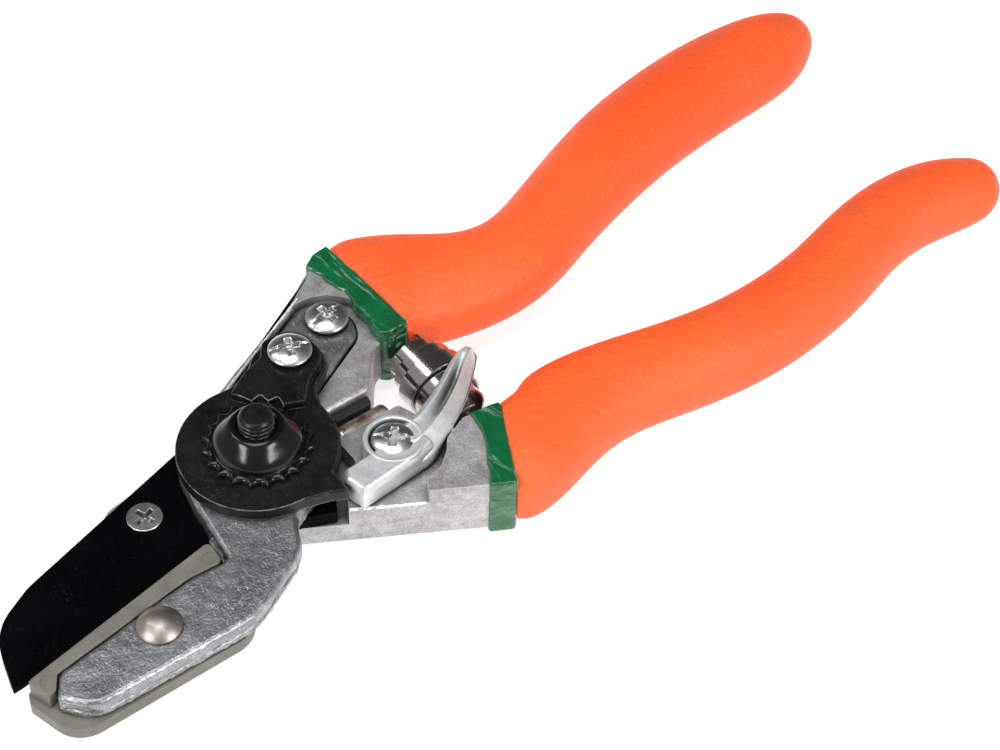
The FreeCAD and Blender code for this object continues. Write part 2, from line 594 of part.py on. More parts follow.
def blade_screw():
    body = new_body("blade_screw")
    sk = body.newObject("Sketcher::SketchObject", "Profile")
    sk.AttachmentSupport = (plane_of(body, "XZ_Plane"), [""])
    sk.MapMode = "FlatFace"
    radius = S["blade_screw_head"]
    sk.addGeometry([
        Part.LineSegment(V(0, -7.4, 0), V(1.8, -7.4, 0)),
        Part.LineSegment(V(1.8, -7.4, 0), V(1.8, -1.6, 0)),
        Part.LineSegment(V(1.8, -1.6, 0), V(radius, 0, 0)),
        Part.LineSegment(V(radius, 0, 0), V(radius - 0.1, 0.18, 0)),
        Part.LineSegment(V(radius - 0.1, 0.18, 0), V(0, 0.3, 0)),
        Part.LineSegment(V(0, 0.3, 0), V(0, -7.4, 0))], False)
    turn = body.newObject("PartDesign::Revolution", "Turn")
    turn.Profile = sk
    turn.ReferenceAxis = (sk, ["V_Axis"])
    turn.Angle = 360
    doc.recompute()
    for name, half_long, half_wide in (("CrossA", 1.9, 0.45), ("CrossB", 0.45, 1.9)):
        pocket(body, name, "-1.2", "4", [
            (-half_long, -half_wide), (half_long, -half_wide),
            (half_long, half_wide), (-half_long, half_wide)])
    level = S["shelf_top"] + S["blade_thick"]
    body.Placement = FreeCAD.Placement(V(S["blade_screw_x"], S["blade_screw_y"], level),
                                       FreeCAD.Rotation(V(0, 0, 1), 18))
    return body


# ---------------------------------------------------------------- thumb lock
def lock_lever():
    body = new_body("lock_lever_blank")
    pad(body, "Nose", "Sizes.lever_bottom", "Sizes.lever_top - Sizes.lever_bottom", [
        (7.8, -15.3), (9.1, -13.0), (16.0, -12.3), (22.5, -9.8), (26.8, -10.4, 1.5),
        (33.5, -6.9, 14), (40.5, -2.6, 1.5), (43.7, -2.7, 0.9), (43.2, -5.0, 0.9),
        (35.0, -12.6, 12), (26.6, -16.8, 3), (22.0, -18.0, 3), (8.6, -19.4, 1.0)])
    pad(body, "Boss", "Sizes.lever_bottom", "Sizes.lever_top - Sizes.lever_bottom",
        (), [(S["lever_x"], S["lever_y"], "Sizes.lever_boss")])
    pocket(body, "Bore", "Sizes.lever_bottom", "10",
           (), [(S["lever_x"], S["lever_y"], "2.45")])
    pocket(body, "Sink", "Sizes.lever_top - 1.7", "10",
           (), [(S["lever_x"], S["lever_y"], "4.35")])
    soften(body, "TopEdge", 0.5, level_edge(
        S["lever_top"], lambda p: math.hypot(p.x - S["lever_x"], p.y - S["lever_y"]) > 4.5))
    hollow = spring_room("lever_spring_room", 0, 6.3)
    tip = spring_room("lever_tip_room", 20.6, 7.1)
    return cut("lock_lever", cut("lever_hollowed", body, hollow), tip)


def spring_room(label, shift, radius):
    """Round room about the axis of the spring, so that the lever clears it."""
    room = doc.addObject("Part::Cylinder", label)
    room.Radius = radius
    room.Height = 24
    room.Placement = FreeCAD.Placement(
        V(S["spring_x"], shift, S["grip_mid"]), FreeCAD.Rotation(V(1, 0, 0), 90))
    return room


def lever_bush():
    outer = disc("lever_bush_outer", "Sizes.lever_x", "Sizes.lever_y", "Sizes.floor_top",
                 "2.4", "Sizes.lever_top - 1.6 - Sizes.floor_top")
    inner = disc("lever_bush_inner", "Sizes.lever_x", "Sizes.lever_y", "Sizes.floor_top - 1", "1.92", "12")
    return cut("lever_bush", outer, inner)


# ---------------------------------------------------------------- spring
def volute_spring():
    """Stepped strip spring: small turns at both ends, the largest in the middle."""
    low = S["spring_low"]
    high = S["spring_high"]
    turns = 9
    length = high - low
    wall = S["strip"]
    outer = []
    for turn in range(turns):
        share = 1 - abs(turn - (turns - 1) / 2) / ((turns - 1) / 2)
        radius = S["spring_small"] + (S["spring_big"] - S["spring_small"]) * share
        outer.append((low + length * turn / turns, radius))
        outer.append((low + length * (turn + 1) / turns, radius))
    points = [V(radius, along, 0) for along, radius in outer]
    points += [V(radius - wall, along, 0) for along, radius in reversed(inner_wall(outer, wall))]
    face = Part.Face(Part.makePolygon(points + [points[0]]))
    solid = face.revolve(V(0, 0, 0), V(0, 1, 0), 360)
    if solid.Volume < 0:
        solid.reverse()
    part = plain("volute_spring", solid)
    part.Placement = FreeCAD.Placement(V(S["spring_x"], 0, S["grip_mid"]), FreeCAD.Rotation())
    return part


def inner_wall(outer, wall):
    """Inside profile, shifted so that every step keeps its wall thickness."""
    middle = (outer[0][0] + outer[-1][0]) / 2
    shifted = []
    for number, (along, radius) in enumerate(outer):
        end = number in (0, len(outer) - 1)
        if end:
            shifted.append((along, radius))
        elif along < middle:
            shifted.append((along + wall, radius))
        else:
            shifted.append((along - wall, radius))
    return shifted


# ---------------------------------------------------------------- assembly
keep(lower_handle(), "lower_handle_casting")
keep(upper_handle(), "upper_handle_casting")
doc.recompute()
keep(grip("lower_grip", LOWER_STATIONS, "lower_core"), "lower_grip")
keep(grip("upper_grip", UPPER_STATIONS, "upper_core"), "upper_grip")
doc.recompute()
keep(band("lower_band", [(27.6, -30.4), (31.9, -32.8), (40.9, -15.9), (34.4, -14.6), (33.4, -20.4, 6)],
          "lower_casting_block", "lower_seat_peg"), "lower_band")
keep(band("upper_band", [(32.0, 31.8), (34.3, 33.7, 3), (38.1, 34.4), (39.0, 9.5), (34.4, 9.6, 3),
                         (33.6, 12.6, 2), (34.2, 21.0, 12)],
          "upper_casting_block", "upper_seat_peg"), "upper_band")
keep(rubber_bumper(), "rubber_bumper")
keep(bumper_pin(), "bumper_pin")
keep(jaw_piece(), "jaw_piece")
keep(anvil(), "anvil")
keep(anvil_rivet(), "anvil_rivet")
keep(blade(), "blade")
keep(blade_screw(), "blade_screw")
keep(lock_plate(), "lock_plate")
keep(nut_retainer(), "nut_retainer")
keep(pivot_nut(), "pivot_nut")
keep(pivot_bolt(), "pivot_bolt")
keep(pivot_bush(), "pivot_bush")
keep(thrust_washer(), "thrust_washer")
keep(pan_screw("jaw_screw", S["jaw_screw_x"], S["jaw_screw_y"], S["plate_bottom"], 9.0, 1.85), "jaw_screw")
keep(pan_screw("retainer_screw", S["plate_screw_x"], S["plate_screw_y"],
               S["plate_top"] + S["retainer_thick"], 6.9, 1.85), "retainer_screw")
keep(pan_screw("lock_screw", S["lever_x"], S["lever_y"], S["lever_top"] - 1.6, 10.0, 1.85), "lock_screw")
keep(lock_lever(), "lock_lever")
keep(lever_bush(), "lever_bush")
keep(volute_spring(), "volute_spring")
doc.recompute()

os.makedirs("parts", exist_ok=True)
failed = [item.Name for item in doc.Objects if "Invalid" in item.State or "Error" in item.State]
if failed:
    raise RuntimeError("failed: " + ", ".join(failed))
for part in NODES:
    shape = part.Shape
    if shape.isNull() or not shape.isValid() or len(shape.Solids) != 1:
        raise RuntimeError("%s: valid %s solids %d" % (part.Label, shape.isValid(), len(shape.Solids)))
    shape.exportStep("parts/%s.step" % part.Label)
    box = shape.BoundBox
    print("%-22s x %7.1f %7.1f  y %6.1f %6.1f  z %5.1f %5.1f  vol %8.1f" % (
        part.Label, box.XMin, box.XMax, box.YMin, box.YMax, box.ZMin, box.ZMax, shape.Volume))
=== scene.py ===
import math

import bpy
import bmesh
import numpy as np
from mathutils import Matrix, Vector, noise


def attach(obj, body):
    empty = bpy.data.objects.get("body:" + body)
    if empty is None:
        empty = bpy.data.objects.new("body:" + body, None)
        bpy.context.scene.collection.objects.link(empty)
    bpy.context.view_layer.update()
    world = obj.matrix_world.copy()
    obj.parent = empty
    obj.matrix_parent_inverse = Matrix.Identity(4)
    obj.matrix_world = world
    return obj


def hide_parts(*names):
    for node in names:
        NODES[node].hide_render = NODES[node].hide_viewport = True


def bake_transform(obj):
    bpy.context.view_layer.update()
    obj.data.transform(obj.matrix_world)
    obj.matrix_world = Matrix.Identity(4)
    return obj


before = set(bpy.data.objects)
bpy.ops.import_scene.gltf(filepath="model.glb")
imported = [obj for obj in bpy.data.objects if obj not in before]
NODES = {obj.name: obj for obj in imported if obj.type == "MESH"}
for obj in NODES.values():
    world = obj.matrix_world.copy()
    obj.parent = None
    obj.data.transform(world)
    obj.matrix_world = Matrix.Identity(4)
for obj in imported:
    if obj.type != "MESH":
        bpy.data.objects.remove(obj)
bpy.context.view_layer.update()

MM = 0.001
EDGE_SAMPLES = 6
CREVICE_SAMPLES = 8


# ================================================================ materials
class Look:
    """A node material built from short calls."""

    def __init__(self, name, metallic=0.0, roughness=0.5):
        self.mat = bpy.data.materials.new(name)
        self.mat.use_nodes = True
        self.tree = self.mat.node_tree
        self.shader = self.tree.nodes["Principled BSDF"]
        self.shader.inputs["Metallic"].default_value = metallic
        self.shader.inputs["Roughness"].default_value = roughness
        self.place = self.add("ShaderNodeTexCoord").outputs["Object"]
        self.heights = []

    def add(self, kind, **values):
        node = self.tree.nodes.new(kind)
        for key, value in values.items():
            setattr(node, key, value)
        return node

    def link(self, a, b):
        self.tree.links.new(a, b)

    def put(self, socket, value):
        if isinstance(value, bpy.types.NodeSocket):
            self.link(value, socket)
        else:
            socket.default_value = value

    def set(self, **values):
        """Inputs of the shader by name, with _ for a space."""
        for key, value in values.items():
            self.put(self.shader.inputs[key.replace("_", " ")], value)

    def stretched(self, sx, sy, sz, turn=(0, 0, 0)):
        """Coordinates scaled along each axis and turned."""
        node = self.add("ShaderNodeMapping")
        node.inputs["Scale"].default_value = (sx, sy, sz)
        node.inputs["Rotation"].default_value = turn
        self.link(self.place, node.inputs["Vector"])
        return node.outputs["Vector"]

    def noise(self, size_mm, detail=3.0, rough=0.55, warp=0.0, where=None):
        node = self.add("ShaderNodeTexNoise")
        node.inputs["Scale"].default_value = 1.0 / (size_mm * MM)
        node.inputs["Detail"].default_value = detail
        node.inputs["Roughness"].default_value = rough
        node.inputs["Distortion"].default_value = warp
        self.link(where or self.place, node.inputs["Vector"])
        return node.outputs["Fac"]

    def cells(self, size_mm, feature):
        node = self.add("ShaderNodeTexVoronoi", feature=feature)
        node.inputs["Scale"].default_value = 1.0 / (size_mm * MM)
        self.link(self.place, node.inputs["Vector"])
        return node.outputs["Distance"]

    def ramp(self, fac, *stops):
        """Colours or greys at places along a value."""
        node = self.add("ShaderNodeValToRGB")
        bar = node.color_ramp
        while len(bar.elements) > 1:
            bar.elements.remove(bar.elements[-1])
        bar.elements[0].position = stops[0][0]
        bar.elements[0].color = grey(stops[0][1])
        for position, colour in stops[1:]:
            bar.elements.new(position).color = grey(colour)
        self.link(fac, node.inputs["Fac"])
        return node.outputs["Color"]

    def mix(self, fac, a, b, mode="MIX"):
        node = self.add("ShaderNodeMix", data_type="RGBA", blend_type=mode)
        self.put(node.inputs["Factor"], fac)
        self.put(node.inputs["A"], grey(a))
        self.put(node.inputs["B"], grey(b))
        return node.outputs["Result"]

    def math(self, op, a, b=0.0, c=0.0):
        node = self.add("ShaderNodeMath", operation=op)
        self.put(node.inputs[0], a)
        self.put(node.inputs[1], b)
        self.put(node.inputs[2], c)
        return node.outputs[0]

    def times(self, a, b):
        return self.math("MULTIPLY", a, b)

    def cover(self, colour, mask, share, other):
        """Another colour over this one, as far as a mask and a share allow."""
        return self.mix(self.times(mask, share), colour, other)

    def edges(self, radius_mm, low=0.02, high=0.25):
        """0 on flat stretches, 1 along outer and inner edges."""
        soft = self.add("ShaderNodeBevel", samples=EDGE_SAMPLES)
        soft.inputs["Radius"].default_value = radius_mm * MM
        sharp = self.add("ShaderNodeNewGeometry")
        dot = self.add("ShaderNodeVectorMath", operation="DOT_PRODUCT")
        self.link(soft.outputs[0], dot.inputs[0])
        self.link(sharp.outputs["Normal"], dot.inputs[1])
        turned = self.math("SUBTRACT", 1.0, dot.outputs["Value"])
        return self.ramp(turned, (low, 0.0), (high, 1.0))

    def recess_shade(self, reach_mm, low=0.35, high=0.9):
        """1 in narrow recesses, 0 in the open; it places painted shade in recesses."""
        node = self.add("ShaderNodeAmbientOcclusion", samples=CREVICE_SAMPLES)
        node.inputs["Distance"].default_value = reach_mm * MM
        return self.ramp(node.outputs["AO"], (low, 1.0), (high, 0.0))

    def rough(self, fac, low, high):
        node = self.add("ShaderNodeMapRange")
        node.inputs["To Min"].default_value = low
        node.inputs["To Max"].default_value = high
        self.link(fac, node.inputs["Value"])
        self.link(node.outputs["Result"], self.shader.inputs["Roughness"])

    def relief(self, height, depth_mm, strength):
        self.heights.append((height, depth_mm, strength))

    def done(self):
        """Chains the reliefs into the normal and gives the material."""
        normal = None
        for height, depth_mm, strength in self.heights:
            node = self.add("ShaderNodeBump")
            node.inputs["Strength"].default_value = strength
            node.inputs["Distance"].default_value = depth_mm * MM
            self.link(height, node.inputs["Height"])
            if normal is not None:
                self.link(normal, node.inputs["Normal"])
            normal = node.outputs["Normal"]
        if normal is not None:
            self.link(normal, self.shader.inputs["Normal"])
        return self.mat


def grey(value):
    """A colour with alpha from a grey or a colour; a socket stays as it is."""
    if isinstance(value, bpy.types.NodeSocket):
        return value
    if isinstance(value, (int, float)):
        return (value, value, value, 1.0)
    return (value[0], value[1], value[2], 1.0)


def orange_vinyl():
    """Grained grip vinyl, dirty in patches and scuffed."""
    look = Look("orange_vinyl", roughness=0.5)
    base = look.ramp(look.noise(26, 3), (0.30, (0.86, 0.088, 0.014)), (0.7, (0.92, 0.118, 0.022)))
    darkening = look.ramp(look.noise(13, 6, 0.66, 0.6), (0.49, 0.0), (0.66, 1.0))
    specks = look.ramp(look.noise(1.3, 5, 0.75), (0.47, 0.0), (0.62, 1.0))
    darkening = look.times(darkening, look.math("MULTIPLY_ADD", specks, 0.6, 0.25))
    colour = look.cover(base, darkening, 0.45, (0.36, 0.080, 0.040))
    scuff = look.ramp(look.noise(2.4, 5, 0.7, 0.8, look.stretched(0.5, 1.0, 1.0, (0, 0, 0.3))),
                      (0.66, 0.0), (0.76, 1.0))
    scuff = look.times(scuff, look.ramp(look.noise(22, 3), (0.48, 0.0), (0.62, 1.0)))
    colour = look.cover(colour, scuff, 0.35, (0.96, 0.36, 0.22))
    look.set(Base_Color=colour, Specular_IOR_Level=0.38)
    look.rough(look.noise(4.0, 3), 0.42, 0.58)
    look.relief(look.cells(1.1, "SMOOTH_F1"), 0.34, 0.7)
    look.relief(look.noise(0.55, 4, 0.65), 0.14, 0.7)
    look.relief(look.noise(9.0, 3), 0.22, 0.4)
    return look.done()


def green_vinyl():
    """Thick glossy dip with ripples and small chips."""
    look = Look("green_vinyl", roughness=0.16)
    colour = look.ramp(look.noise(6, 4, 0.6), (0.35, (0.001, 0.080, 0.024)), (0.72, (0.003, 0.125, 0.042)))
    chip = look.ramp(look.noise(1.5, 5, 0.7), (0.68, 0.0), (0.74, 1.0))
    colour = look.cover(colour, chip, 0.4, (0.16, 0.30, 0.20))
    look.set(Base_Color=colour, Coat_Weight=0.35, Coat_Roughness=0.08)
    look.rough(look.noise(2.5, 4), 0.12, 0.34)
    ripple = look.noise(6.0, 2, 0.5, 1.4, look.stretched(1.0, 0.4, 1.0, (0, 0, 0.4)))
    look.relief(ripple, 1.8, 0.9)
    look.relief(look.noise(0.8, 3), 0.03, 0.4)
    return look.done()


def cast_grey(name, tones, rough_low, rough_high, pits, scratches, metallic=0.9, grain=0.5, rust=0.0):
    """Cast metal from three greys, with sand grain, pits, scratches, rust, rubbed edges and painted shade
    in its recesses.
    """
    look = Look(name, metallic=metallic)
    cloud = look.noise(4.2, 6, 0.66, 0.5)
    colour = look.ramp(cloud, (0.30, tones[0]), (0.52, tones[1]), (0.74, tones[2]))
    sand = look.ramp(look.noise(0.34, 3, 0.7), (0.30, 0.62), (0.70, 1.25))
    colour = look.mix(grain, colour, sand, "MULTIPLY")
    pit = look.ramp(look.noise(0.5, 3, 0.6), (0.27, 1.0), (0.36, 0.0))
    blot = look.ramp(look.noise(2.1, 5, 0.7), (0.57, 0.0), (0.72, 1.0))
    colour = look.cover(colour, pit, pits, 0.03)
    colour = look.cover(colour, blot, pits * 0.6, 0.10)
    if rust:
        brown = look.ramp(look.noise(3.4, 5, 0.7, 0.6), (0.58, 0.0), (0.76, 1.0))
        colour = look.cover(colour, brown, rust, (0.20, 0.10, 0.045))
    colour = look.mix(scratch_field(look, scratches), colour, 0.90)
    edge = look.edges(0.4)
    rub = look.times(edge, look.ramp(look.noise(1.7, 5, 0.7), (0.34, 0.15), (0.60, 1.0)))
    colour = look.cover(colour, rub, 0.85, 0.86)
    # Painted shade: recesses darkened almost to black by an occlusion mask.
    colour = look.cover(colour, look.recess_shade(2.2), 0.80, (0.035, 0.030, 0.028))
    look.set(Base_Color=colour)
    look.rough(look.noise(1.6, 4), rough_low, rough_high)
    look.relief(look.noise(0.45, 4, 0.65), 0.10, grain)
    look.relief(look.noise(2.6, 4, 0.55), 0.30, grain * 0.7)
    return look.done()


def scratch_field(look, amount):
    """Fine scratches in three directions, in patches."""
    total = None
    for turn, length, seed in ((0.5, 0.16, 1.3), (1.25, 0.30, 7.7), (-0.6, 0.22, 3.1)):
        where = look.add("ShaderNodeMapping")
        where.inputs["Location"].default_value = (seed, seed * 0.7, 0)
        where.inputs["Rotation"].default_value = (0, 0, turn)
        where.inputs["Scale"].default_value = (1.0, length, 1.0)
        look.link(look.place, where.inputs["Vector"])
        line = look.ramp(look.noise(0.30, 3, 0.6, 0.8, where.outputs["Vector"]), (0.635, 0.0), (0.67, 1.0))
        total = line if total is None else look.math("MAXIMUM", total, line)
    gate = look.ramp(look.noise(7.0, 4, 0.65), (0.40, 0.1), (0.66, 1.0))
    return look.times(look.times(total, gate), amount)


def black_steel():
    """Blackened steel, worn bright in patches on its edges, with a painted highlight along every edge."""
    look = Look("black_oxide_steel", metallic=0.1)
    cloud = look.noise(4.0, 5, 0.65)
    colour = look.ramp(cloud, (0.3, (0.003, 0.003, 0.004)), (0.75, (0.012, 0.0115, 0.012)))
    edge = look.edges(0.40, 0.02, 0.22)
    # Edges lightened: wear in patches, and a painted highlight along every edge.
    bright_edge = look.times(edge, look.ramp(look.noise(2.0, 5, 0.7), (0.36, 0.12), (0.54, 1.0)))
    colour = look.cover(colour, bright_edge, 0.85, 0.50)
    colour = look.mix(scratch_field(look, 0.22), colour, 0.17)
    dust = look.ramp(look.noise(0.42, 2, 0.6), (0.69, 0.0), (0.74, 1.0))
    colour = look.cover(colour, dust, 0.30, 0.22)
    grime = look.ramp(look.noise(3.0, 5, 0.7, 0.5), (0.58, 0.0), (0.78, 1.0))
    colour = look.cover(colour, grime, 0.25, (0.10, 0.07, 0.045))
    look.set(Base_Color=colour, Specular_IOR_Level=0.24)
    look.rough(look.noise(1.3, 4), 0.24, 0.40)
    look.relief(look.noise(0.7, 4), 0.03, 0.5)
    look.relief(look.noise(6.0, 3), 0.12, 0.4)
    return look.done()


def black_gloss():
    look = Look("black_gloss_steel", metallic=0.0)
    colour = look.ramp(look.noise(3.0, 4), (0.3, (0.0025, 0.0025, 0.0032)), (0.8, (0.006, 0.006, 0.0075)))
    edge = look.edges(0.22, 0.04, 0.3)
    bright_edge = look.times(edge, look.ramp(look.noise(1.6, 4, 0.6), (0.50, 0.0), (0.64, 0.7)))
    colour = look.cover(colour, bright_edge, 0.6, 0.25)
    look.set(Base_Color=colour, Specular_IOR_Level=0.34)
    look.rough(look.noise(0.9, 4), 0.13, 0.22)
    look.relief(look.noise(0.35, 3), 0.012, 0.5)
    return look.done()


def blade_coat():
    """Dark non-stick coating with a few flecks."""
    look = Look("blade_coat", metallic=0.0)
    colour = look.ramp(look.noise(9, 4), (0.3, (0.0008, 0.0008, 0.0012)), (0.8, (0.0020, 0.0020, 0.0026)))
    fleck = look.ramp(look.noise(0.30, 2, 0.7), (0.74, 0.0), (0.77, 1.0))
    colour = look.cover(colour, fleck, 0.35, 0.25)
    colour = look.mix(scratch_field(look, 0.12), colour, 0.05)
    look.set(Base_Color=colour, Specular_IOR_Level=0.02)
    look.rough(look.noise(1.0, 4), 0.34, 0.5)
    look.relief(look.noise(0.5, 3), 0.02, 0.4)
    return look.done()


def zinc(name, tone, rough_low, rough_high, darkening=0.8, tint=(1.0, 1.0, 0.99)):
    look = Look(name, metallic=1.0)
    dark = [tone * 0.66 * part for part in tint]
    light = [tone * part for part in tint]
    colour = look.ramp(look.noise(1.4, 5, 0.68), (0.3, dark), (0.7, light))
    spots = look.ramp(look.noise(0.4, 3, 0.6), (0.30, 1.0), (0.38, 0.0))
    colour = look.cover(colour, spots, 0.2, 0.3)
    # Painted highlight: every edge lightened evenly.
    edge = look.edges(0.2, 0.03, 0.35)
    colour = look.cover(colour, edge, 0.35, 0.9)
    # Painted shade: recesses and slots darkened by an occlusion mask.
    colour = look.cover(colour, look.recess_shade(1.1, 0.30, 0.70), darkening, (0.06, 0.06, 0.055))
    look.set(Base_Color=colour)
    look.rough(look.noise(0.8, 4), rough_low, rough_high)
    look.relief(look.noise(1.8, 3), 0.05, 0.25)
    return look.done()


def spring_steel():
    look = Look("spring_steel", metallic=1.0)
    streak = look.noise(0.30, 3, 0.6, 0.0, look.stretched(0.05, 1.0, 0.05))
    colour = look.ramp(streak, (0.3, (0.50, 0.475, 0.45)), (0.7, (0.66, 0.635, 0.61)))
    look.set(Base_Color=colour)
    look.rough(look.noise(1.2, 3), 0.10, 0.18)
    return look.done()


def bright_flash():
    """Fresh broken metal along a casting seam."""
    look = Look("flash_line", metallic=0.2)
    colour = look.ramp(look.noise(0.8, 4, 0.7), (0.35, 0.50), (0.6, 0.95))
    look.set(Base_Color=colour)
    look.rough(look.noise(0.7, 3), 0.25, 0.45)
    look.relief(look.noise(0.35, 4), 0.08, 0.6)
    return look.done()


def rusty_steel():
    look = Look("pin_steel", metallic=0.9)
    rust = look.ramp(look.noise(2.4, 5, 0.65), (0.44, 0.0), (0.60, 1.0))
    colour = look.cover((0.50, 0.45, 0.40), rust, 0.75, (0.16, 0.070, 0.028))
    look.set(Base_Color=colour)
    look.rough(look.noise(0.9, 4), 0.22, 0.45)
    look.relief(look.noise(0.6, 4), 0.04, 0.5)
    return look.done()


def anvil_plastic():
    look = Look("anvil_plastic", roughness=0.5)
    cloud = look.noise(5.0, 5, 0.65)
    colour = look.ramp(cloud, (0.25, (0.100, 0.092, 0.078)), (0.8, (0.185, 0.176, 0.155)))
    stain = look.ramp(look.noise(2.2, 5, 0.7, 0.5), (0.58, 0.0), (0.76, 1.0))
    colour = look.cover(colour, stain, 0.5, (0.085, 0.070, 0.05))
    look.set(Base_Color=colour)
    look.rough(look.noise(1.5, 3), 0.40, 0.6)
    look.relief(look.noise(0.8, 3), 0.03, 0.5)
    return look.done()


def rubber():
    look = Look("bumper_rubber", roughness=0.62)
    colour = look.ramp(look.noise(2.0, 4), (0.3, 0.004), (0.8, 0.012))
    look.set(Base_Color=colour)
    look.relief(look.noise(0.5, 4), 0.05, 0.6)
    return look.done()


def floor_look():
    """White sheet that glows a little, so that it reads as white."""
    look = Look("floor_white", roughness=0.75)
    colour = look.ramp(look.noise(160, 2), (0.3, 0.55), (0.8, 0.56))
    look.set(Base_Color=colour, Specular_IOR_Level=0.1)
    look.set(Emission_Color=(1.0, 1.0, 1.0, 1.0), Emission_Strength=0.72)
    return look.done()


# ================================================================ mesh helpers
def piece(name, verts, faces, look, body, smooth_angle):
    """A visible mesh from points in millimetres, riding on a body when one is named."""
    mesh = bpy.data.meshes.new(name)
    mesh.from_pydata([Vector(v) * MM for v in verts], [], faces)
    mesh.validate()
    obj = bpy.data.objects.new(name, mesh)
    bpy.context.scene.collection.objects.link(obj)
    tidy = bmesh.new()
    tidy.from_mesh(mesh)
    bmesh.ops.recalc_face_normals(tidy, faces=tidy.faces)
    tidy.to_mesh(mesh)
    tidy.free()
    shade(obj, smooth_angle)
    mesh.materials.append(look)
    even = obj.modifiers.new("even", "WEIGHTED_NORMAL")
    even.keep_sharp = True
    if body:
        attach(obj, body)
    return obj


def shade(obj, angle):
    """Smooth shading, with edges sharper than the angle kept crisp."""
    obj.data.polygons.foreach_set("use_smooth", [True] * len(obj.data.polygons))
    obj.data.update()
    if angle < 180:
        obj.data.set_sharp_from_angle(angle=math.radians(angle))


SHARP_ANGLE = 32
SAME_POINT = 2e-6
FLAT_ANGLE = 0.6


def soften_cad(node, look, width_mm):
    """Gives a CAD node its material and small rounded edges."""
    obj = NODES[node]
    for index in range(max(1, len(obj.material_slots))):
        if index < len(obj.material_slots):
            obj.material_slots[index].material = look
        else:
            obj.data.materials.append(look)
    weld = obj.modifiers.new("weld", "WELD")
    weld.merge_threshold = SAME_POINT
    flat = obj.modifiers.new("flat", "DECIMATE")
    flat.decimate_type = "DISSOLVE"
    flat.angle_limit = math.radians(FLAT_ANGLE)
    if width_mm:
        bevel = obj.modifiers.new("bevel", "BEVEL")
        bevel.width = width_mm * MM
        bevel.segments = 3
        bevel.limit_method = "ANGLE"
        bevel.angle_limit = math.radians(SHARP_ANGLE)
        bevel.harden_normals = False
        bevel.miter_outer = "MITER_ARC"
    shade(obj, SHARP_ANGLE)
    even = obj.modifiers.new("even", "WEIGHTED_NORMAL")
    even.keep_sharp = True


# ================================================================ outlines
OUTLINE_STEP = 0.35
FINE_STEP = 0.3
STRAIGHT = math.radians(89)


def rounded_outline(points):
    """Dense closed outline of a polygon whose corners are (x, y) or (x, y, radius)."""
    step = OUTLINE_STEP
    count = len(points)
    dense = []
    for i in range(count):
        before = Vector(points[i - 1][:2])
        here = Vector(points[i][:2])
        after = Vector(points[(i + 1) % count][:2])
        radius = points[i][2] if len(points[i]) > 2 else 0.0
        to_before = (before - here).normalized()
        to_after = (after - here).normalized()
        half = 0.5 * to_before.angle(to_after)
        if radius and half < STRAIGHT:
            reach = radius / math.tan(half)
            centre = here + (to_before + to_after).normalized() * (radius / math.sin(half))
            first = here + to_before * reach - centre
            last = here + to_after * reach - centre
            sweep = first.angle_signed(last)
            parts = max(2, int(abs(sweep) * radius / step) + 1)
            for k in range(parts + 1):
                angle = -sweep * k / parts
                spin = Matrix.Rotation(angle, 2)
                dense.append(centre + spin @ first)
        else:
            dense.append(here)
    closed = []
    for i, here in enumerate(dense):
        after = dense[(i + 1) % len(dense)]
        gap = (after - here).length
        if gap < 1e-6:
            continue
        for k in range(max(1, int(gap / step))):
            closed.append(tuple(here.lerp(after, k / max(1, int(gap / step)))))
    area = sum(a[0] * b[1] - b[0] * a[1] for a, b in zip(closed, closed[1:] + closed[:1]))
    return np.array(closed if area > 0 else closed[::-1])


def even_outline(outline, step=FINE_STEP):
    """The same closed outline with points at even steps."""
    loop = np.vstack([outline, outline[:1]])
    reach = along_path(loop)
    grid = np.linspace(0, reach[-1], max(8, int(reach[-1] / step)), endpoint=False)
    return np.stack([np.interp(grid, reach, loop[:, k]) for k in (0, 1)], 1)


def inward(outline):
    """Unit vectors that point into an outline drawn anticlockwise."""
    along = np.roll(outline, -1, 0) - np.roll(outline, 1, 0)
    along /= np.maximum(np.hypot(*along.T), 1e-9)[:, None]
    side = np.stack([-along[:, 1], along[:, 0]], 1)
    return side


def wobble(point, size, seed):
    """Noise in space at the size of a casting's unevenness."""
    return noise.fractal(Vector((point[0] / size + seed, point[1] / size, point[2] / size)), 0.7, 2.0, 4)


def ring_faces(rows, around):
    """Four-sided faces between rings that follow one another."""
    faces = []
    for row in range(rows - 1):
        for i in range(around):
            a = row * around + i
            b = row * around + (i + 1) % around
            faces.append((a, b, b + around, a + around))
    return faces


def end_caps(rows, around):
    """The faces that close the first and the last ring."""
    last = (rows - 1) * around
    return [tuple(range(around))[::-1], tuple(last + i for i in range(around))]


def wall_levels(foot, rise, rows, draft=0.0):
    """Levels of a plain wall above its foot, leaning inward by the draft."""
    return [(draft * k / rows, foot + rise * k / rows) for k in range(1, rows + 1)]


DEEP_INSET = 0.5


def slab(outline, levels, rough, size, seed, calm_top=0.0, groove=None):
    """Rings of an outline from the bottom up: levels are (inset, height). Returns verts and faces."""
    pull = inward(outline)
    smooth = pull.copy()
    for _ in range(6):
        smooth = (np.roll(smooth, 1, 0) + smooth * 2 + np.roll(smooth, -1, 0)) / 4
    verts = []
    count = len(outline)
    rows = len(levels)
    for number, (inset, height) in enumerate(levels):
        way = smooth if inset > DEEP_INSET else pull
        calm = calm_top if number == rows - 1 else 1
        for i in range(count):
            x, y = outline[i] + way[i] * inset
            push = rough * wobble((x, y, height), size, seed) * calm
            if groove:
                push += groove(x, y, height)
            verts.append((x + pull[i][0] * push, y + pull[i][1] * push, height))
    return verts, ring_faces(rows, count) + end_caps(rows, count)


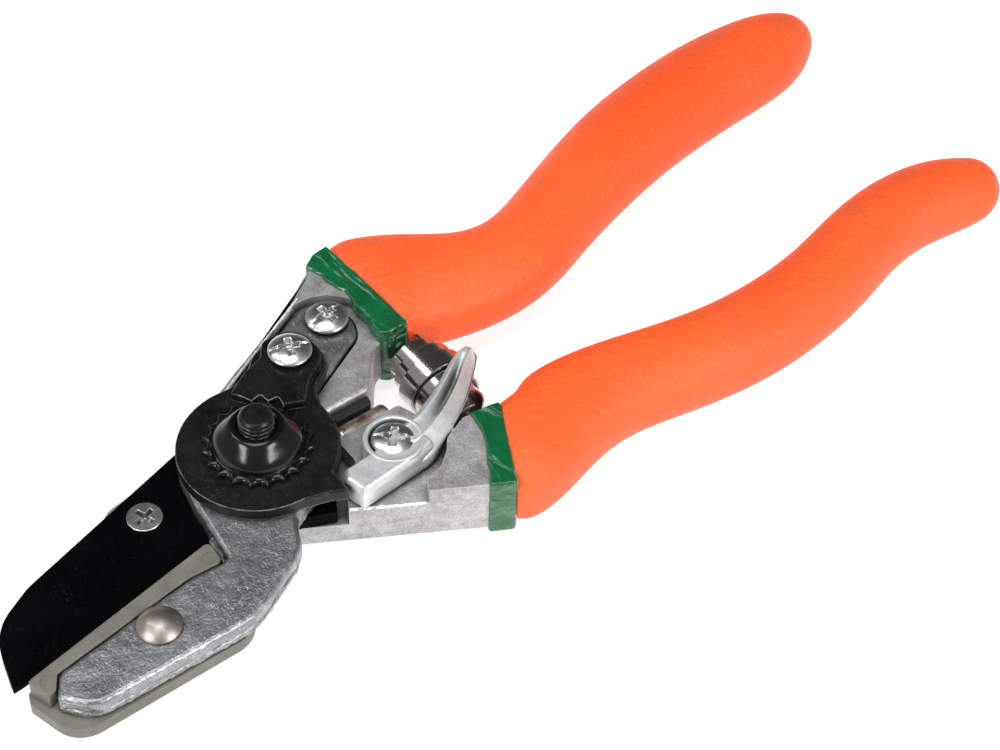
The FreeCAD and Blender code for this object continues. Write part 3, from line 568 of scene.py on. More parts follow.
def loft(rings):
    """Skin over rings of equal length, closed at both ends."""
    count = len(rings[0])
    verts = [tuple(p) for ring in rings for p in ring]
    return verts, ring_faces(len(rings), count) + end_caps(len(rings), count)


def joined(*shapes):
    """Several shapes as one mesh."""
    verts = []
    faces = []
    for more_verts, more_faces in shapes:
        start = len(verts)
        verts += list(more_verts)
        faces += [tuple(start + i for i in face) for face in more_faces]
    return verts, faces


def turned(profile, around, centre=(0, 0), wave=None):
    """Solid of revolution about a vertical axis; profile is (radius, height) from axis to axis."""
    verts = []
    inner = profile[1:-1]
    for radius, height in inner:
        for i in range(around):
            angle = 2 * math.pi * i / around
            r = wave(radius, height, angle) if wave else radius
            verts.append((centre[0] + r * math.cos(angle), centre[1] + r * math.sin(angle), height))
    faces = ring_faces(len(inner), around)
    verts.append((centre[0], centre[1], profile[0][1]))
    low = len(verts) - 1
    verts.append((centre[0], centre[1], profile[-1][1]))
    high = len(verts) - 1
    top = (len(inner) - 1) * around
    for i in range(around):
        faces.append((low, (i + 1) % around, i))
        faces.append((high, top + i, top + (i + 1) % around))
    return verts, faces


# ================================================================ jaw
JAW = [
    (-13.2, 6.0, 8), (-15.1, -3.0, 3), (-16.8, -15.7, 0.8), (-24.0, -15.2, 6), (-34.0, -16.5, 20),
    (-51.5, -18.9, 3), (-54.5, -23.2, 1.8), (-49.8, -28.3, 6), (-19.5, -28.8, 12),
    (-5.4, -21.7, 10), (-2.4, -15.4, 2), (3.0, -13.0, 6), (13.3, -7.0, 9), (13.2, 4.6, 4),
    (30.4, 13.2, 4.5), (33.9, 20.0, 5.5), (24.6, 25.2, 6.0), (-2.5, 11.7, 5), (-10.5, 9.0, 5)]
JAW_ARM = [
    (-16.8, -15.7, 0.8), (-24.0, -15.2, 6), (-34.0, -16.5, 20), (-51.5, -18.9, 3),
    (-54.5, -23.2, 1.8), (-49.8, -28.3, 6), (-19.5, -28.8, 12), (-5.4, -21.7, 4),
    (-6.0, -17.0, 1), (-15.2, -10.8, 1)]


PARTING_HEIGHT = 11.75
PARTING_WIDTH = 0.22
PARTING_DEPTH = 0.62
OUTER_SLOPE = -0.42
OUTER_START = -24.2


def share_of(value):
    """The value kept between 0 and 1."""
    return max(0.0, min(1.0, value))


def parting_line(x, y, height):
    """A torn groove along the outer side of the jaw, deeper in places."""
    if y > OUTER_SLOPE * x + OUTER_START:
        return 0.0
    line = PARTING_HEIGHT + 0.35 * noise.noise(Vector((x * 0.25, y * 0.25, 3.0)))
    depth = 0.5 + 0.5 * noise.noise(Vector((x * 0.33, y * 0.33, 9.0)))
    away = (height - line) / PARTING_WIDTH
    groove = PARTING_DEPTH * depth * math.exp(-away * away)
    below = 0.18 * share_of((line - height) / 0.4) * noise.noise(Vector((x, y, height)))
    return groove + below


def build_jaw():
    """Plate with rounded top edge, the thicker foot under its arm, and a web beside the anvil."""
    outline = even_outline(rounded_outline(JAW))
    levels = [(0.0, 11.08)] + wall_levels(11.08, 2.32, 16, 0.12)
    levels += [(0.18, 13.62), (0.32, 13.88), (0.52, 14.08), (0.76, 14.22), (1.02, 14.3)]
    plate = slab(outline, levels, 0.12, 1.6, 2.0, 0.3, parting_line)
    arm = even_outline(rounded_outline(JAW_ARM))
    arm_levels = [(0.35, 10.4), (0.12, 10.52), (0.0, 10.75), (0.0, 11.0), (0.05, 11.2), (0.6, 11.3)]
    foot = slab(arm, arm_levels, 0.14, 1.1, 5.0, 0.3)
    beside = even_outline(rounded_outline([
        (-17.7, -16.6), (-15.0, -16.4), (-14.2, -8.0), (-16.7, -9.6), (-17.0, -12.5)]))
    web = slab(beside, [(0.0, 10.45), (0.0, 12.2), (0.1, 12.5), (0.3, 12.6)], 0.05, 1.0, 1.0)
    obj = piece("jaw_body", *joined(plate, foot, web), LOOKS["jaw"], "upper_handle", 35)
    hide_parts("jaw_piece")


def build_wall():
    """Rounded outer wall of the upper casting."""
    outline = even_outline(rounded_outline([
        (2.1, 14.2, 0.3), (27.1, 26.4, 4), (32.0, 30.4, 0.4), (31.4, 31.4, 0.8), (24.6, 26.7, 10),
        (15.2, 22.1, 10), (6.0, 17.9, 8), (1.3, 15.6, 0.9)]))
    levels = [(0.3, 3.05), (0.08, 3.25), (0.0, 3.5)] + wall_levels(3.5, 10.6, 10)
    levels += [(0.04, 14.4), (0.12, 14.7), (0.24, 14.9), (0.38, 15.0), (0.46, 15.02)]
    wall = slab(outline, levels, 0.10, 2.0, 11.0, 0.6)
    obj = piece("casting_wall", *wall, LOOKS["cast"], "upper_handle", 45)


# ================================================================ pivot nut and bolt
NUT_TEETH = 20
NUT_TURN = 0.1
NUT_BOTTOM = 16.7
FLANGE_TOP = 18.0
FLANGE_EDGE = 8.5
TOOTH_DEPTH = 0.95
CONE_FOOT = 18.05
CONE_RISE = 4.2
CROWN_RADIUS = 4.6


def nut_wave(radius, height, angle):
    """Toothed flange low down, slightly square at mid height, round at the top."""
    if height < FLANGE_TOP and radius > FLANGE_EDGE:
        tooth = (1.0 - abs(math.sin(NUT_TEETH / 2 * (angle + NUT_TURN)))) ** 1.15
        return radius - TOOTH_DEPTH * (1.0 - tooth) - 0.12 * (1.0 - tooth) * (height - NUT_BOTTOM)
    share = share_of((height - CONE_FOOT) / CONE_RISE)
    power = 2.0 + 0.55 * math.sin(math.pi * share ** 0.8) if radius > CROWN_RADIUS else 2.0
    across = abs(math.cos(angle - NUT_TURN))
    along = abs(math.sin(angle - NUT_TURN))
    return radius / (across ** power + along ** power) ** (1 / power)


def build_nut():
    profile = [(0, 16.75), (3.1, 16.75), (9.5, 16.75), (9.88, 16.88), (9.95, 17.2), (9.9, 17.55),
               (9.7, 17.78), (9.35, 17.9), (8.9, 17.96), (8.3, 18.0), (7.95, 18.02), (7.82, 18.12),
               (7.72, 18.35), (7.56, 18.7), (7.32, 19.15), (7.0, 19.65), (6.62, 20.15), (6.2, 20.65),
               (5.8, 21.15), (5.45, 21.6), (5.15, 21.98), (4.85, 22.28), (4.5, 22.47), (4.1, 22.53),
               (3.75, 22.48), (3.45, 22.3), (3.25, 21.9), (3.15, 21.0), (3.1, 20.0), (0, 20.0)]
    shape = turned(profile, 480, wave=nut_wave)
    obj = piece("nut_body", *shape, LOOKS["black_gloss"], "upper_handle", 40)
    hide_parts("pivot_nut")


def build_thread():
    """Screw thread on the bolt where it stands out of the nut."""
    around, rows = 96, 54
    low, high, pitch = 21.2, 24.75, 1.0
    core, crest, lead_in = 2.72, 0.42, 24.3
    verts = []
    for row in range(rows + 1):
        height = low + (high - low) * row / rows
        for i in range(around):
            turn = i / around
            angle = 2 * math.pi * turn
            phase = ((height - low) / pitch + turn) % 1.0
            radius = core + crest * min(1.0, 2.6 * min(phase, 1 - phase))
            if height > lead_in:
                radius = min(radius, 3.12 - (height - lead_in) * 0.9)
            verts.append((radius * math.cos(angle), radius * math.sin(angle), height))
    faces = ring_faces(rows + 1, around)
    rim = rows * around
    for radius, height in ((2.62, 24.98), (2.45, 25.12), (2.15, 25.18)):
        start = len(verts)
        for i in range(around):
            angle = 2 * math.pi * i / around
            r = radius + 0.04 * noise.noise(Vector((3 * math.cos(angle), 3 * math.sin(angle), height)))
            verts.append((r * math.cos(angle), r * math.sin(angle), height))
        for i in range(around):
            faces.append((rim + i, rim + (i + 1) % around, start + (i + 1) % around, start + i))
        rim = start
    faces.append(tuple(rim + i for i in range(around)))
    faces.append(tuple(range(around))[::-1])
    piece("bolt_thread", verts, faces, LOOKS["black"], "upper_handle", 28)


# ================================================================ thumb lock
# Along the arm: its left and right edge, its top, its underside and the depth of its scoop.
ARM_LEFT = [(20.5, -9.0), (23.5, -9.6), (26.5, -9.4), (30.0, -8.2), (33.5, -6.5), (36.4, -5.0),
            (38.9, -3.6), (41.0, -2.7), (42.6, -2.5), (43.6, -3.0)]
ARM_RIGHT = [(19.0, -18.6), (22.8, -18.5), (27.0, -17.3), (31.0, -15.5), (35.0, -13.0), (38.4, -10.4),
             (41.0, -8.0), (42.9, -6.2), (43.9, -5.0), (44.1, -4.2)]
ARM_TOP = [16.95, 16.95, 17.1, 17.3, 17.5, 17.7, 17.9, 17.8, 17.3, 16.6]
ARM_FOOT = [12.3, 12.3, 12.9, 15.45, 15.5, 15.55, 15.55, 15.5, 15.45, 15.45]
ARM_SCOOP = [0.0, 0.0, 0.2, 1.5, 2.1, 1.9, 0.8, 0.0, -0.15, -0.1]


def spread(values, count):
    """Smooth values along a path of given ones."""
    table = np.array(values, float).reshape(len(values), -1)
    grid = np.linspace(0, len(values) - 1, count)
    places = np.arange(len(values), dtype=float)
    return np.stack([hermite(places, table[:, k], grid) for k in range(table.shape[1])], 1)


def arm_section(left, right, top, foot, scoop):
    """One ring of the arm, from its left edge over the ridges to its right edge."""
    across = [(0.04, foot), (0.0, foot + 0.35), (0.0, top - 2.0), (0.03, top - 1.4), (0.08, top - 0.85),
              (0.14, top - 0.38), (0.19, top - 0.12), (0.23, top + 0.08), (0.265, top + 0.02),
              (0.30, top - 0.30 * scoop), (0.35, top - 0.68 * scoop), (0.41, top - 0.94 * scoop),
              (0.47, top - scoop), (0.52, top - 0.82 * scoop), (0.56, top - 0.45 * scoop),
              (0.59, top - 0.12 * scoop), (0.62, top + 0.16), (0.65, top + 0.10), (0.69, top - 0.25),
              (0.77, top - 0.75), (0.87, top - 1.35), (0.94, top - 1.85), (0.985, top - 2.25),
              (1.0, top - 2.6), (1.0, foot + 0.3), (0.97, foot)]
    ring = []
    for share, height in across:
        x = left[0] + (right[0] - left[0]) * share
        y = left[1] + (right[1] - left[1]) * share
        ring.append((x, y, max(height, foot)))
    return ring


def lever_arm():
    """The arm with its scooped thumb rest and rounded tip."""
    count = 70
    left, right = (spread(edge, count) for edge in (ARM_LEFT, ARM_RIGHT))
    top, foot, scoop = (spread(values, count)[:, 0] for values in (ARM_TOP, ARM_FOOT, ARM_SCOOP))
    rings = [arm_section(left[k], right[k], top[k], foot[k], scoop[k]) for k in range(count)]
    middle = np.mean(rings[-1], axis=0)
    onward = np.array((0.12, 0.06, 0))
    for share in (0.75, 0.4, 0.1):
        rest = 1 - share
        rings.append([tuple(np.array(p) * share + middle * rest + onward * rest) for p in rings[count - 1]])
    return loft(rings)


def build_lever():
    nose = even_outline(rounded_outline([
        (7.7, -15.1, 0.25), (9.3, -12.9, 0.3), (15.5, -12.4, 2), (22.5, -10.5, 2), (26.0, -12.0, 1.5),
        (25.4, -17.4, 1.0), (21.0, -18.6, 3), (8.7, -19.5, 0.4)]))
    levels = [(0.12, 12.25), (0.0, 12.4), (0.0, 15.5), (0.05, 15.75), (0.16, 16.0), (0.34, 16.3),
              (0.52, 16.58), (0.64, 16.76), (0.80, 16.88), (1.0, 16.94)]
    block = slab(nose, levels, 0.04, 3.0, 4.0, 0.2)
    ring = [(0, 12.3), (5.3, 12.3), (5.5, 12.6), (5.52, 16.5), (5.46, 16.85), (5.32, 17.02),
            (5.15, 17.06), (4.72, 17.06), (4.6, 17.0), (4.52, 16.85), (4.46, 16.2), (4.44, 14.8),
            (4.3, 14.7), (0, 14.7)]
    boss = turned(ring, 120, (19.9, -12.7))
    obj = piece("lever_body", *joined(lever_arm(), block, boss), LOOKS["zinc_cast"], "thumb_lock", 30)
    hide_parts("lock_lever")


# ================================================================ screws
CROSS_HALF_WIDTH = 0.74
CROSS_REACH = 0.56
CROSS_DEPTH = 1.5
SLOT_HALF_WIDTH = 0.60
SLOT_DEPTH = 0.50
DOME = 0.42
DOME_CURVE = 0.86
SHANK = 0.45


def screw_recess(u, v, radius):
    """Depth of the cross recess and the driver slot below the dome."""
    deep = 0.0
    for a, b in ((u, v), (v, u)):
        wall = share_of((CROSS_HALF_WIDTH - abs(b)) / 0.22)
        run = share_of((CROSS_REACH * radius - abs(a)) / 0.60)
        deep = max(deep, wall * run * (CROSS_DEPTH - 0.25 * abs(a)))
    deep = max(deep, 1.75 * share_of((1.15 - math.hypot(u, v)) / 0.35))
    slot = share_of((SLOT_HALF_WIDTH - abs(v)) / 0.12)
    return max(deep, slot * max(0.0, SLOT_DEPTH - 0.42 * (abs(u) / radius) ** 2))


def build_screw(name, node, body, angle_deg):
    """Domed head with a cross recess and a driver slot, on a plain shank."""
    box = [NODES[node].matrix_world @ Vector(c) for c in NODES[node].bound_box]
    low = np.min([tuple(c) for c in box], axis=0) / MM
    high = np.max([tuple(c) for c in box], axis=0) / MM
    middle_x, middle_y = (low[:2] + high[:2]) / 2
    radius = (high[0] - low[0]) / 2
    top = high[2]
    turn = math.radians(angle_deg)
    dome = DOME * radius
    rows, around = 64, 168
    verts = []
    for row in range(rows):
        reach = radius * ((row + 1) / rows) ** 0.9
        share = reach / radius
        for k in range(around):
            angle = 2 * math.pi * k / around
            x = reach * math.cos(angle)
            y = reach * math.sin(angle)
            u = x * math.cos(turn) + y * math.sin(turn)
            v = y * math.cos(turn) - x * math.sin(turn)
            height = top - dome * (1 - math.sqrt(max(0.0, 1 - DOME_CURVE * share ** 2)))
            verts.append((middle_x + x, middle_y + y, height - screw_recess(u, v, radius)))
    rim_height = top - dome * (1 - math.sqrt(1 - DOME_CURVE))
    thin = SHANK * radius
    rim = [(radius + 0.02, 0.12), (radius - 0.02, 0.4), (thin, 0.42)]
    below = [(r, max(low[2], min(rim_height - drop, top - 0.3))) for r, drop in rim] + [(thin, low[2])]
    for r, level in below:
        for k in range(around):
            angle = 2 * math.pi * k / around
            verts.append((middle_x + r * math.cos(angle), middle_y + r * math.sin(angle), level))
    rings = rows + len(below)
    faces = ring_faces(rings, around) + [cap[::-1] for cap in end_caps(rings, around)]
    obj = piece(name, verts, faces, LOOKS["zinc"], body, 45)
    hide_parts(node)


def build_screws():
    build_screw("jaw_screw_head", "jaw_screw", "upper_handle", 7)
    build_screw("retainer_screw_head", "retainer_screw", "upper_handle", -21)
    build_screw("lock_screw_head", "lock_screw", "lower_handle", -42)


def along_path(points):
    """Distance along a path up to each of its points."""
    return np.concatenate([[0], np.cumsum(np.hypot(*np.diff(points, axis=0).T))])


FLASH_HALF_WIDTH = 0.32
FLASH_STEP = 0.12


def build_flash(name, body, path, height, seed):
    """Thin broken ridge left along a casting edge."""
    line = np.array(path, float)
    reach = along_path(line)
    grid = np.arange(0, reach[-1], FLASH_STEP)
    spots = np.stack([np.interp(grid, reach, line[:, k]) for k in (0, 1)], 1)
    along = np.gradient(spots, axis=0)
    along /= np.hypot(*along.T)[:, None]
    rings = []
    for i, (x, y) in enumerate(spots):
        lift = 0.12 + 0.10 * max(0.0, 0.4 + noise.fractal(Vector((grid[i] * 0.9, seed, 0)), 0.8, 2.0, 4))
        half = FLASH_HALF_WIDTH * (0.7 + 0.5 * noise.noise(Vector((grid[i] * 0.8, seed, 5.0))))
        sway = 0.07 * noise.noise(Vector((grid[i] * 1.4, seed, 9.0)))
        section = ((-1.0, -0.30), (-0.8, lift * 0.5), (-0.1, lift), (0.7, lift * 0.45), (1.0, -0.30))
        ring = []
        for side, rise in section:
            away = sway + side * half
            ring.append((x - along[i][1] * away, y + along[i][0] * away, height + rise))
        rings.append(ring)
    obj = piece(name, *loft(rings), LOOKS["flash"], body, 35)


# ================================================================ spring
SPRING_X = 37.6
SPRING_Z = 9.2


def build_spring():
    """One strip wound into two cones, large in the middle."""
    turns, per_turn = 5.9, 128
    count = int(turns * per_turn)
    high, low, wide, thick = 8.7, -12.1, 4.0, 0.46
    start = high - wide / 2
    stop = low + wide / 2
    end_radius, swell = 3.5, 3.0
    verts = []
    section = [(0.5, -0.47), (0.5, -0.2), (0.5, 0.2), (0.5, 0.47), (0.3, 0.5), (-0.5, 0.5), (-0.5, -0.5),
               (0.3, -0.5)]
    for k in range(count + 1):
        share = k / count
        swing = 1 - abs(share - 0.48) / 0.52
        radius = end_radius + swell * share_of(swing * 1.06)
        angle = 2 * math.pi * turns * share + 0.8
        along = start + (stop - start) * share
        for out, side in section:
            r = radius + out * thick
            x = SPRING_X + r * math.sin(angle)
            z = SPRING_Z + r * math.cos(angle)
            verts.append((x, along + side * wide, z))
    size = len(section)
    faces = ring_faces(count + 1, size) + end_caps(count + 1, size)
    obj = piece("spring_strip", verts, faces, LOOKS["spring"], None, 30)
    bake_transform(obj)
    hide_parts("volute_spring")


# ================================================================ painted bands
def build_band(name, node, body, corners, wavy, seed):
    """Green dipped band, its edge a little wavy where the dip ends on the casting."""
    outline = even_outline(rounded_outline(corners), OUTLINE_STEP)
    for i, (x, y) in enumerate(outline):
        outline[i][0] += wavy(x, y)
    levels = [(0.5, 2.5), (0.2, 2.58), (0.05, 2.8), (0.0, 3.2)] + wall_levels(3.2, 11.9, 14)
    levels += [(0.03, 15.4), (0.12, 15.64), (0.26, 15.8), (0.42, 15.88)]
    verts, faces = slab(outline, levels, 0.16, 3.6, seed, 1.0)
    obj = piece(name, verts, faces, LOOKS["green"], body, 60)
    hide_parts(node)


def build_bands():
    def upper_wave(x, y):
        if x >= 36:
            return 0.0
        return 0.20 * math.sin(y * 0.9 + 0.6) + 0.10 * math.sin(y * 2.3)

    def lower_wave(x, y):
        if x >= 34:
            return 0.0
        return 0.12 * math.sin(y * 1.3)

    build_band("upper_band_wrap", "upper_band", "upper_handle", [
        (31.8, 31.8, 0.8), (34.3, 33.7, 2.5), (38.1, 34.4, 0.5), (39.0, 9.2, 0.5), (33.2, 8.9, 1.5),
        (33.4, 13.0, 3), (34.0, 21.5, 8)], upper_wave, 3.0)
    build_band("lower_band_wrap", "lower_band", "lower_handle", [
        (27.6, -30.4, 0.8), (31.9, -32.8, 0.8), (40.9, -15.9, 0.6), (34.6, -14.8, 0.8), (34.1, -20.2, 6)],
        lower_wave, 8.0)


# ================================================================ grips
GRIP_MID = 9.2
START_SHRINK = 0.965
TIP_REACH = 0.35
# Stations of a grip: x, y, heading in degrees, half width, half height, squareness (2 is an ellipse).
LOWER = [
    (36.6, -23.5, -28, 10.3, 6.7, 3.4), (38.6, -24.1, -26, 11.1, 7.3, 3.1),
    (42.5, -24.0, -18, 11.1, 7.6, 2.7), (49.0, -22.1, -4, 10.5, 7.6, 2.4),
    (60.0, -21.3, -4, 9.6, 7.6, 2.2), (75.0, -24.1, -9, 9.1, 7.6, 2.1),
    (90.0, -26.2, -5, 9.0, 7.6, 2.0), (102.0, -25.9, 5, 8.7, 7.6, 2.0),
    (115.0, -23.7, 14, 8.4, 7.4, 2.0), (127.0, -20.6, 10, 8.2, 7.3, 2.0),
    (140.0, -19.7, -3, 8.1, 7.5, 2.0), (148.0, -21.2, -14, 7.7, 7.1, 2.0),
    (153.2, -22.8, -18, 6.7, 6.2, 2.0), (156.8, -23.9, -20, 4.7, 4.4, 2.0),
    (158.2, -24.4, -20, 2.3, 2.2, 2.0), (158.6, -24.5, -20, 1.2, 1.1, 2.0),
]
UPPER = [
    (38.4, 22.3, 2, 12.9, 6.7, 3.4), (40.4, 22.6, -1, 13.4, 7.3, 3.1),
    (44.0, 22.0, -8, 13.2, 7.6, 2.7), (50.0, 19.3, -18, 12.1, 7.6, 2.4),
    (59.5, 15.7, -12, 10.3, 7.6, 2.2), (69.0, 15.6, 7, 9.3, 7.6, 2.1),
    (80.0, 19.1, 18, 9.1, 7.6, 2.0), (92.0, 23.5, 19, 9.6, 7.6, 2.0),
    (105.0, 27.5, 15, 10.3, 7.6, 2.0), (118.0, 30.1, 8, 10.7, 7.6, 2.0),
    (131.0, 31.5, 3, 10.8, 7.6, 2.0), (142.0, 31.9, 3, 10.2, 7.5, 2.0),
    (150.0, 32.3, 4, 8.5, 7.0, 2.0), (155.2, 33.0, 8, 6.0, 5.4, 2.0),
    (158.1, 33.6, 10, 3.4, 3.1, 2.0), (159.3, 33.9, 10, 1.5, 1.4, 2.0),
]


def flow(stations, count):
    """Stations along a smooth curve through the given ones, evenly spread."""
    table = np.array(stations, float)
    reach = along_path(table[:, :2])
    grid = np.linspace(0, reach[-1], count)
    return np.stack([spline(reach, table[:, k], grid) for k in range(table.shape[1])], 1)


def spline(xs, ys, grid):
    """Natural cubic spline."""
    count = len(xs)
    step = np.diff(xs)
    matrix = np.eye(count)
    rest = np.zeros(count)
    for i in range(1, count - 1):
        matrix[i, i - 1:i + 2] = (step[i - 1], 2 * (step[i - 1] + step[i]), step[i])
        rest[i] = 6 * ((ys[i + 1] - ys[i]) / step[i] - (ys[i] - ys[i - 1]) / step[i - 1])
    bend = np.linalg.solve(matrix, rest)
    i = np.clip(np.searchsorted(xs, grid, side="right") - 1, 0, count - 2)
    a = (xs[i + 1] - grid) / step[i]
    b = 1 - a
    return (a * ys[i] + b * ys[i + 1]
            + ((a ** 3 - a) * bend[i] + (b ** 3 - b) * bend[i + 1]) * step[i] ** 2 / 6)


def hermite(xs, ys, grid):
    """Smooth curve through points without overshoot (monotone cubic)."""
    step = np.diff(xs)
    slope = np.diff(ys) / step
    tangent = np.zeros(len(xs))
    tangent[0], tangent[-1] = slope[0], slope[-1]
    for i in range(1, len(xs) - 1):
        if slope[i - 1] * slope[i] > 0:
            w1 = 2 * step[i] + step[i - 1]
            w2 = step[i] + 2 * step[i - 1]
            tangent[i] = (w1 + w2) / (w1 / slope[i - 1] + w2 / slope[i])
    index = np.clip(np.searchsorted(xs, grid, side="right") - 1, 0, len(xs) - 2)
    u = (grid - xs[index]) / step[index]
    h = step[index]
    return ((2 * u ** 3 - 3 * u ** 2 + 1) * ys[index] + (u ** 3 - 2 * u ** 2 + u) * h * tangent[index]
            + (-2 * u ** 3 + 3 * u ** 2) * ys[index + 1] + (u ** 3 - u ** 2) * h * tangent[index + 1])


def bulged(value, square):
    """A sine or cosine pushed outward where the section is squarer than an ellipse."""
    return math.copysign(abs(value) ** (2 / square), value)


def build_grip(name, stations, body, node):
    """Dipped skin over a handle, from its open end to its rounded tip."""
    around, along = 112, 300
    verts = []
    rows = flow(stations, along)
    for number, (x, y, heading, wide, tall, square) in enumerate(rows):
        turn = math.radians(heading + 90)
        shrink = START_SHRINK if number == 0 else 1.0
        for step in range(around):
            angle = 2 * math.pi * step / around
            across = shrink * wide * bulged(math.cos(angle), square)
            up = shrink * tall * bulged(math.sin(angle), square)
            verts.append((x + across * math.cos(turn), y + across * math.sin(turn), GRIP_MID + up))
    faces = ring_faces(along, around)
    last = (along - 1) * around
    x, y = rows[-1][:2]
    heading = math.radians(rows[-1][2])
    verts.append((x + TIP_REACH * math.cos(heading), y + TIP_REACH * math.sin(heading), GRIP_MID))
    tip = len(verts) - 1
    for step in range(around):
        faces.append((last + step, last + (step + 1) % around, tip))
    x, y = rows[0][:2]
    verts.append((x, y, GRIP_MID))
    hub = len(verts) - 1
    for step in range(around):
        faces.append((step, hub, (step + 1) % around))
    obj = piece(name, verts, faces, LOOKS["orange"], body, 50)
    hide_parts(node)


# ================================================================ assembly
LOOKS = {
    "cast": cast_grey("cast_alloy", ((0.30, 0.28, 0.27), (0.46, 0.45, 0.455), (0.60, 0.59, 0.60)),
                      0.36, 0.54, 0.60, 0.25, metallic=0.7, grain=0.85, rust=0.40),
    "jaw": cast_grey("jaw_alloy", ((0.17, 0.175, 0.185), (0.30, 0.305, 0.315), (0.42, 0.425, 0.43)),
                     0.27, 0.44, 0.45, 1.0, grain=0.75, rust=0.15),
    "zinc_cast": cast_grey("lever_alloy", ((0.50, 0.52, 0.52), (0.62, 0.64, 0.64), (0.74, 0.76, 0.76)),
                           0.32, 0.46, 0.18, 0.20, metallic=0.55, grain=0.35),
    "black": black_steel(),
    "black_gloss": black_gloss(),
    "blade": blade_coat(),
    "zinc": zinc("zinc_plate", 0.74, 0.22, 0.36, 0.7),
    "nickel": zinc("nickel_rivet", 0.42, 0.36, 0.50, tint=(1.0, 0.90, 0.82)),
    "flash": bright_flash(),
    "spring": spring_steel(),
    "pin": rusty_steel(),
    "anvil": anvil_plastic(),
    "rubber": rubber(),
    "orange": orange_vinyl(),
    "green": green_vinyl(),
}
# Material of a CAD node and width of its rounded edges in millimetres. The three pan-head screws are
# here too, because their detailed heads are measured from the softened nodes.
CAD_LOOKS = {
    "upper_handle_casting": ("cast", 0.5), "lower_handle_casting": ("cast", 0.35),
    "anvil": ("anvil", 0.2), "anvil_rivet": ("nickel", 0.1),
    "blade": ("blade", 0.12), "blade_screw": ("zinc", 0.1), "lock_plate": ("black", 0.15),
    "nut_retainer": ("black", 0.12), "pivot_bolt": ("black", 0.15),
    "pivot_bush": ("nickel", 0.0), "thrust_washer": ("nickel", 0.0),
    "jaw_screw": ("zinc", 0.12), "retainer_screw": ("zinc", 0.12), "lock_screw": ("zinc", 0.12),
    "lever_bush": ("nickel", 0.0), "bumper_pin": ("pin", 0.1), "rubber_bumper": ("rubber", 0.3),
}
for node, (look, width) in CAD_LOOKS.items():
    soften_cad(node, LOOKS[look], width)

build_jaw()
build_wall()
build_nut()
build_thread()
build_lever()
build_screws()
build_flash("ledge_flash", "lower_handle", [(6.8, -17.75), (14.0, -21.9), (18.4, -24.4)], 11.95, 2.0)
build_flash("block_flash", "upper_handle", [(2.6, 14.9), (14.0, 20.5), (26.2, 26.4)], 15.3, 6.0)
build_spring()
build_bands()
build_grip("lower_grip_skin", LOWER, "lower_handle", "lower_grip")
build_grip("upper_grip_skin", UPPER, "upper_handle", "upper_grip")


# ================================================================ stage
FLOOR_HALF = 6000.0
FLOOR_LEVEL = -0.02


def build_stage():
    signs = ((-1, -1), (1, -1), (1, 1), (-1, 1))
    verts = [(x * FLOOR_HALF, y * FLOOR_HALF, FLOOR_LEVEL) for x, y in signs]
    floor = piece("floor", verts, [(0, 1, 2, 3)], floor_look(), None, 180)


def area_light(name, where, target, size, power, size_y=None):
    """A soft light in metres and watts that looks at its target."""
    data = bpy.data.lights.new(name, "AREA")
    data.energy = power
    data.size = size
    if size_y:
        data.shape = "RECTANGLE"
        data.size_y = size_y
    obj = bpy.data.objects.new(name, data)
    bpy.context.scene.collection.objects.link(obj)
    obj.location = where
    obj.rotation_euler = (Vector(target) - Vector(where)).to_track_quat("-Z", "Y").to_euler()


FAR_SKY = (0.419, 0.517, 0.747)
BRIGHT_SKY = (0.45, (0.80, 0.80, 0.81, 1))
DARK_SKY = (0.93, (0.13, 0.13, 0.135, 1))
SKY_STRENGTH = 0.46


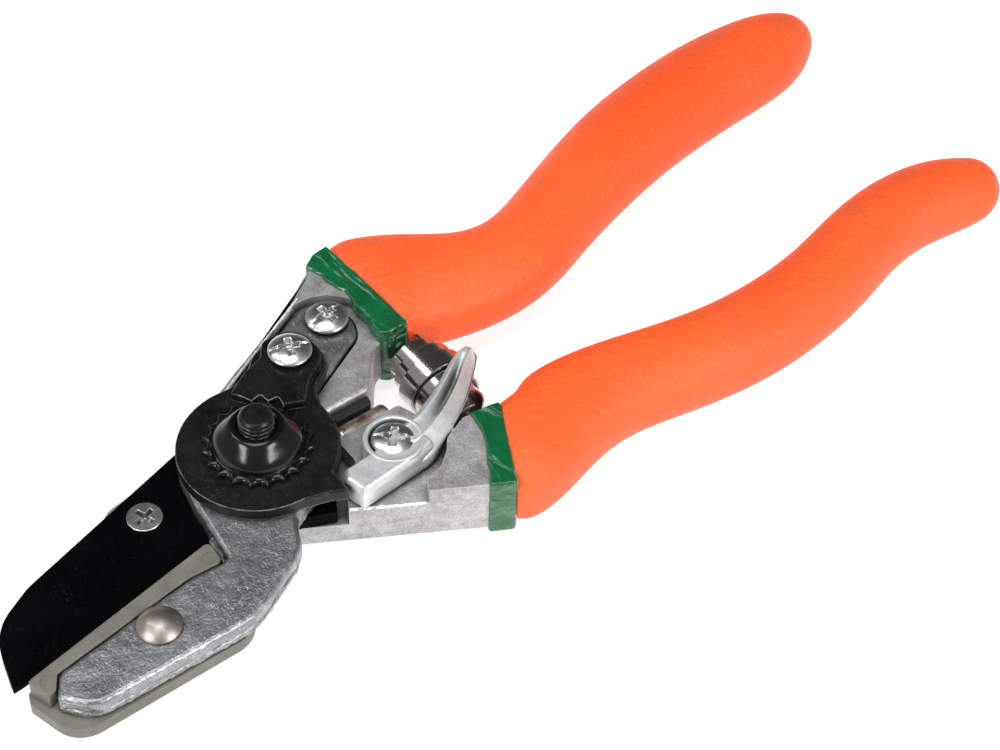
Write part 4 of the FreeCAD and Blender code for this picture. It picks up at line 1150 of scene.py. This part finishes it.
def world_light():
    """Bright all round, darker where level faces are mirrored towards the camera."""
    world = bpy.data.worlds.new("studio")
    bpy.context.scene.world = world
    world.use_nodes = True
    tree = world.node_tree
    back = tree.nodes["Background"]
    place = tree.nodes.new("ShaderNodeTexCoord")
    dot = tree.nodes.new("ShaderNodeVectorMath")
    dot.operation = "DOT_PRODUCT"
    dot.inputs[1].default_value = FAR_SKY
    tree.links.new(place.outputs["Generated"], dot.inputs[0])
    bar = tree.nodes.new("ShaderNodeValToRGB")
    bar.color_ramp.interpolation = "EASE"
    for number, (place_on_bar, colour) in enumerate((BRIGHT_SKY, DARK_SKY)):
        bar.color_ramp.elements[number].position = place_on_bar
        bar.color_ramp.elements[number].color = colour
    tree.links.new(dot.outputs["Value"], bar.inputs["Fac"])
    tree.links.new(bar.outputs["Color"], back.inputs["Color"])
    back.inputs["Strength"].default_value = SKY_STRENGTH


CAMERA_ANGLES = (-39.0, 48.3, 2.0)
CAMERA_PLACE = (-135.92, -233.95, 337.53)
SENSOR_WIDTH = 36.0
FOCAL_LENGTH = 86.4


def photo_camera():
    """Camera at the photo's azimuth, elevation and roll, placed in millimetres."""
    azimuth, elevation, roll = (math.radians(v) for v in CAMERA_ANGLES)
    level = math.cos(elevation)
    back = Vector((math.sin(azimuth) * level, -math.cos(azimuth) * level, math.sin(elevation)))
    right = (-back).cross(Vector((0, 0, 1))).normalized()
    up = right.cross(-back)
    turned_right = right * math.cos(roll) + up * math.sin(roll)
    turned_up = up * math.cos(roll) - right * math.sin(roll)
    data = bpy.data.cameras.new("camera")
    data.sensor_width = SENSOR_WIDTH
    data.lens = FOCAL_LENGTH
    data.clip_start = 0.01
    data.clip_end = 20.0
    camera = bpy.data.objects.new("camera", data)
    bpy.context.scene.collection.objects.link(camera)
    axes = Matrix((turned_right, turned_up, back)).transposed().to_4x4()
    camera.matrix_world = Matrix.Translation(Vector(CAMERA_PLACE) * MM) @ axes
    bpy.context.scene.camera = camera


build_stage()
world_light()
area_light("front_left_box", (-0.62, -0.02, 0.48), (0.02, 0, 0), 0.26, 3.2)
area_light("front_right_box", (0.22, -0.66, 0.46), (0.02, 0, 0), 0.28, 3.8)
area_light("top_box", (-0.02, 0.02, 0.85), (0.05, 0, 0), 0.42, 3.4)
area_light("back_strip", (-0.24, 0.42, 0.63), (0.038, 0, 0.01), 0.10, 0.9, size_y=0.30)
photo_camera()
bpy.context.scene.view_settings.view_transform = "Standard"
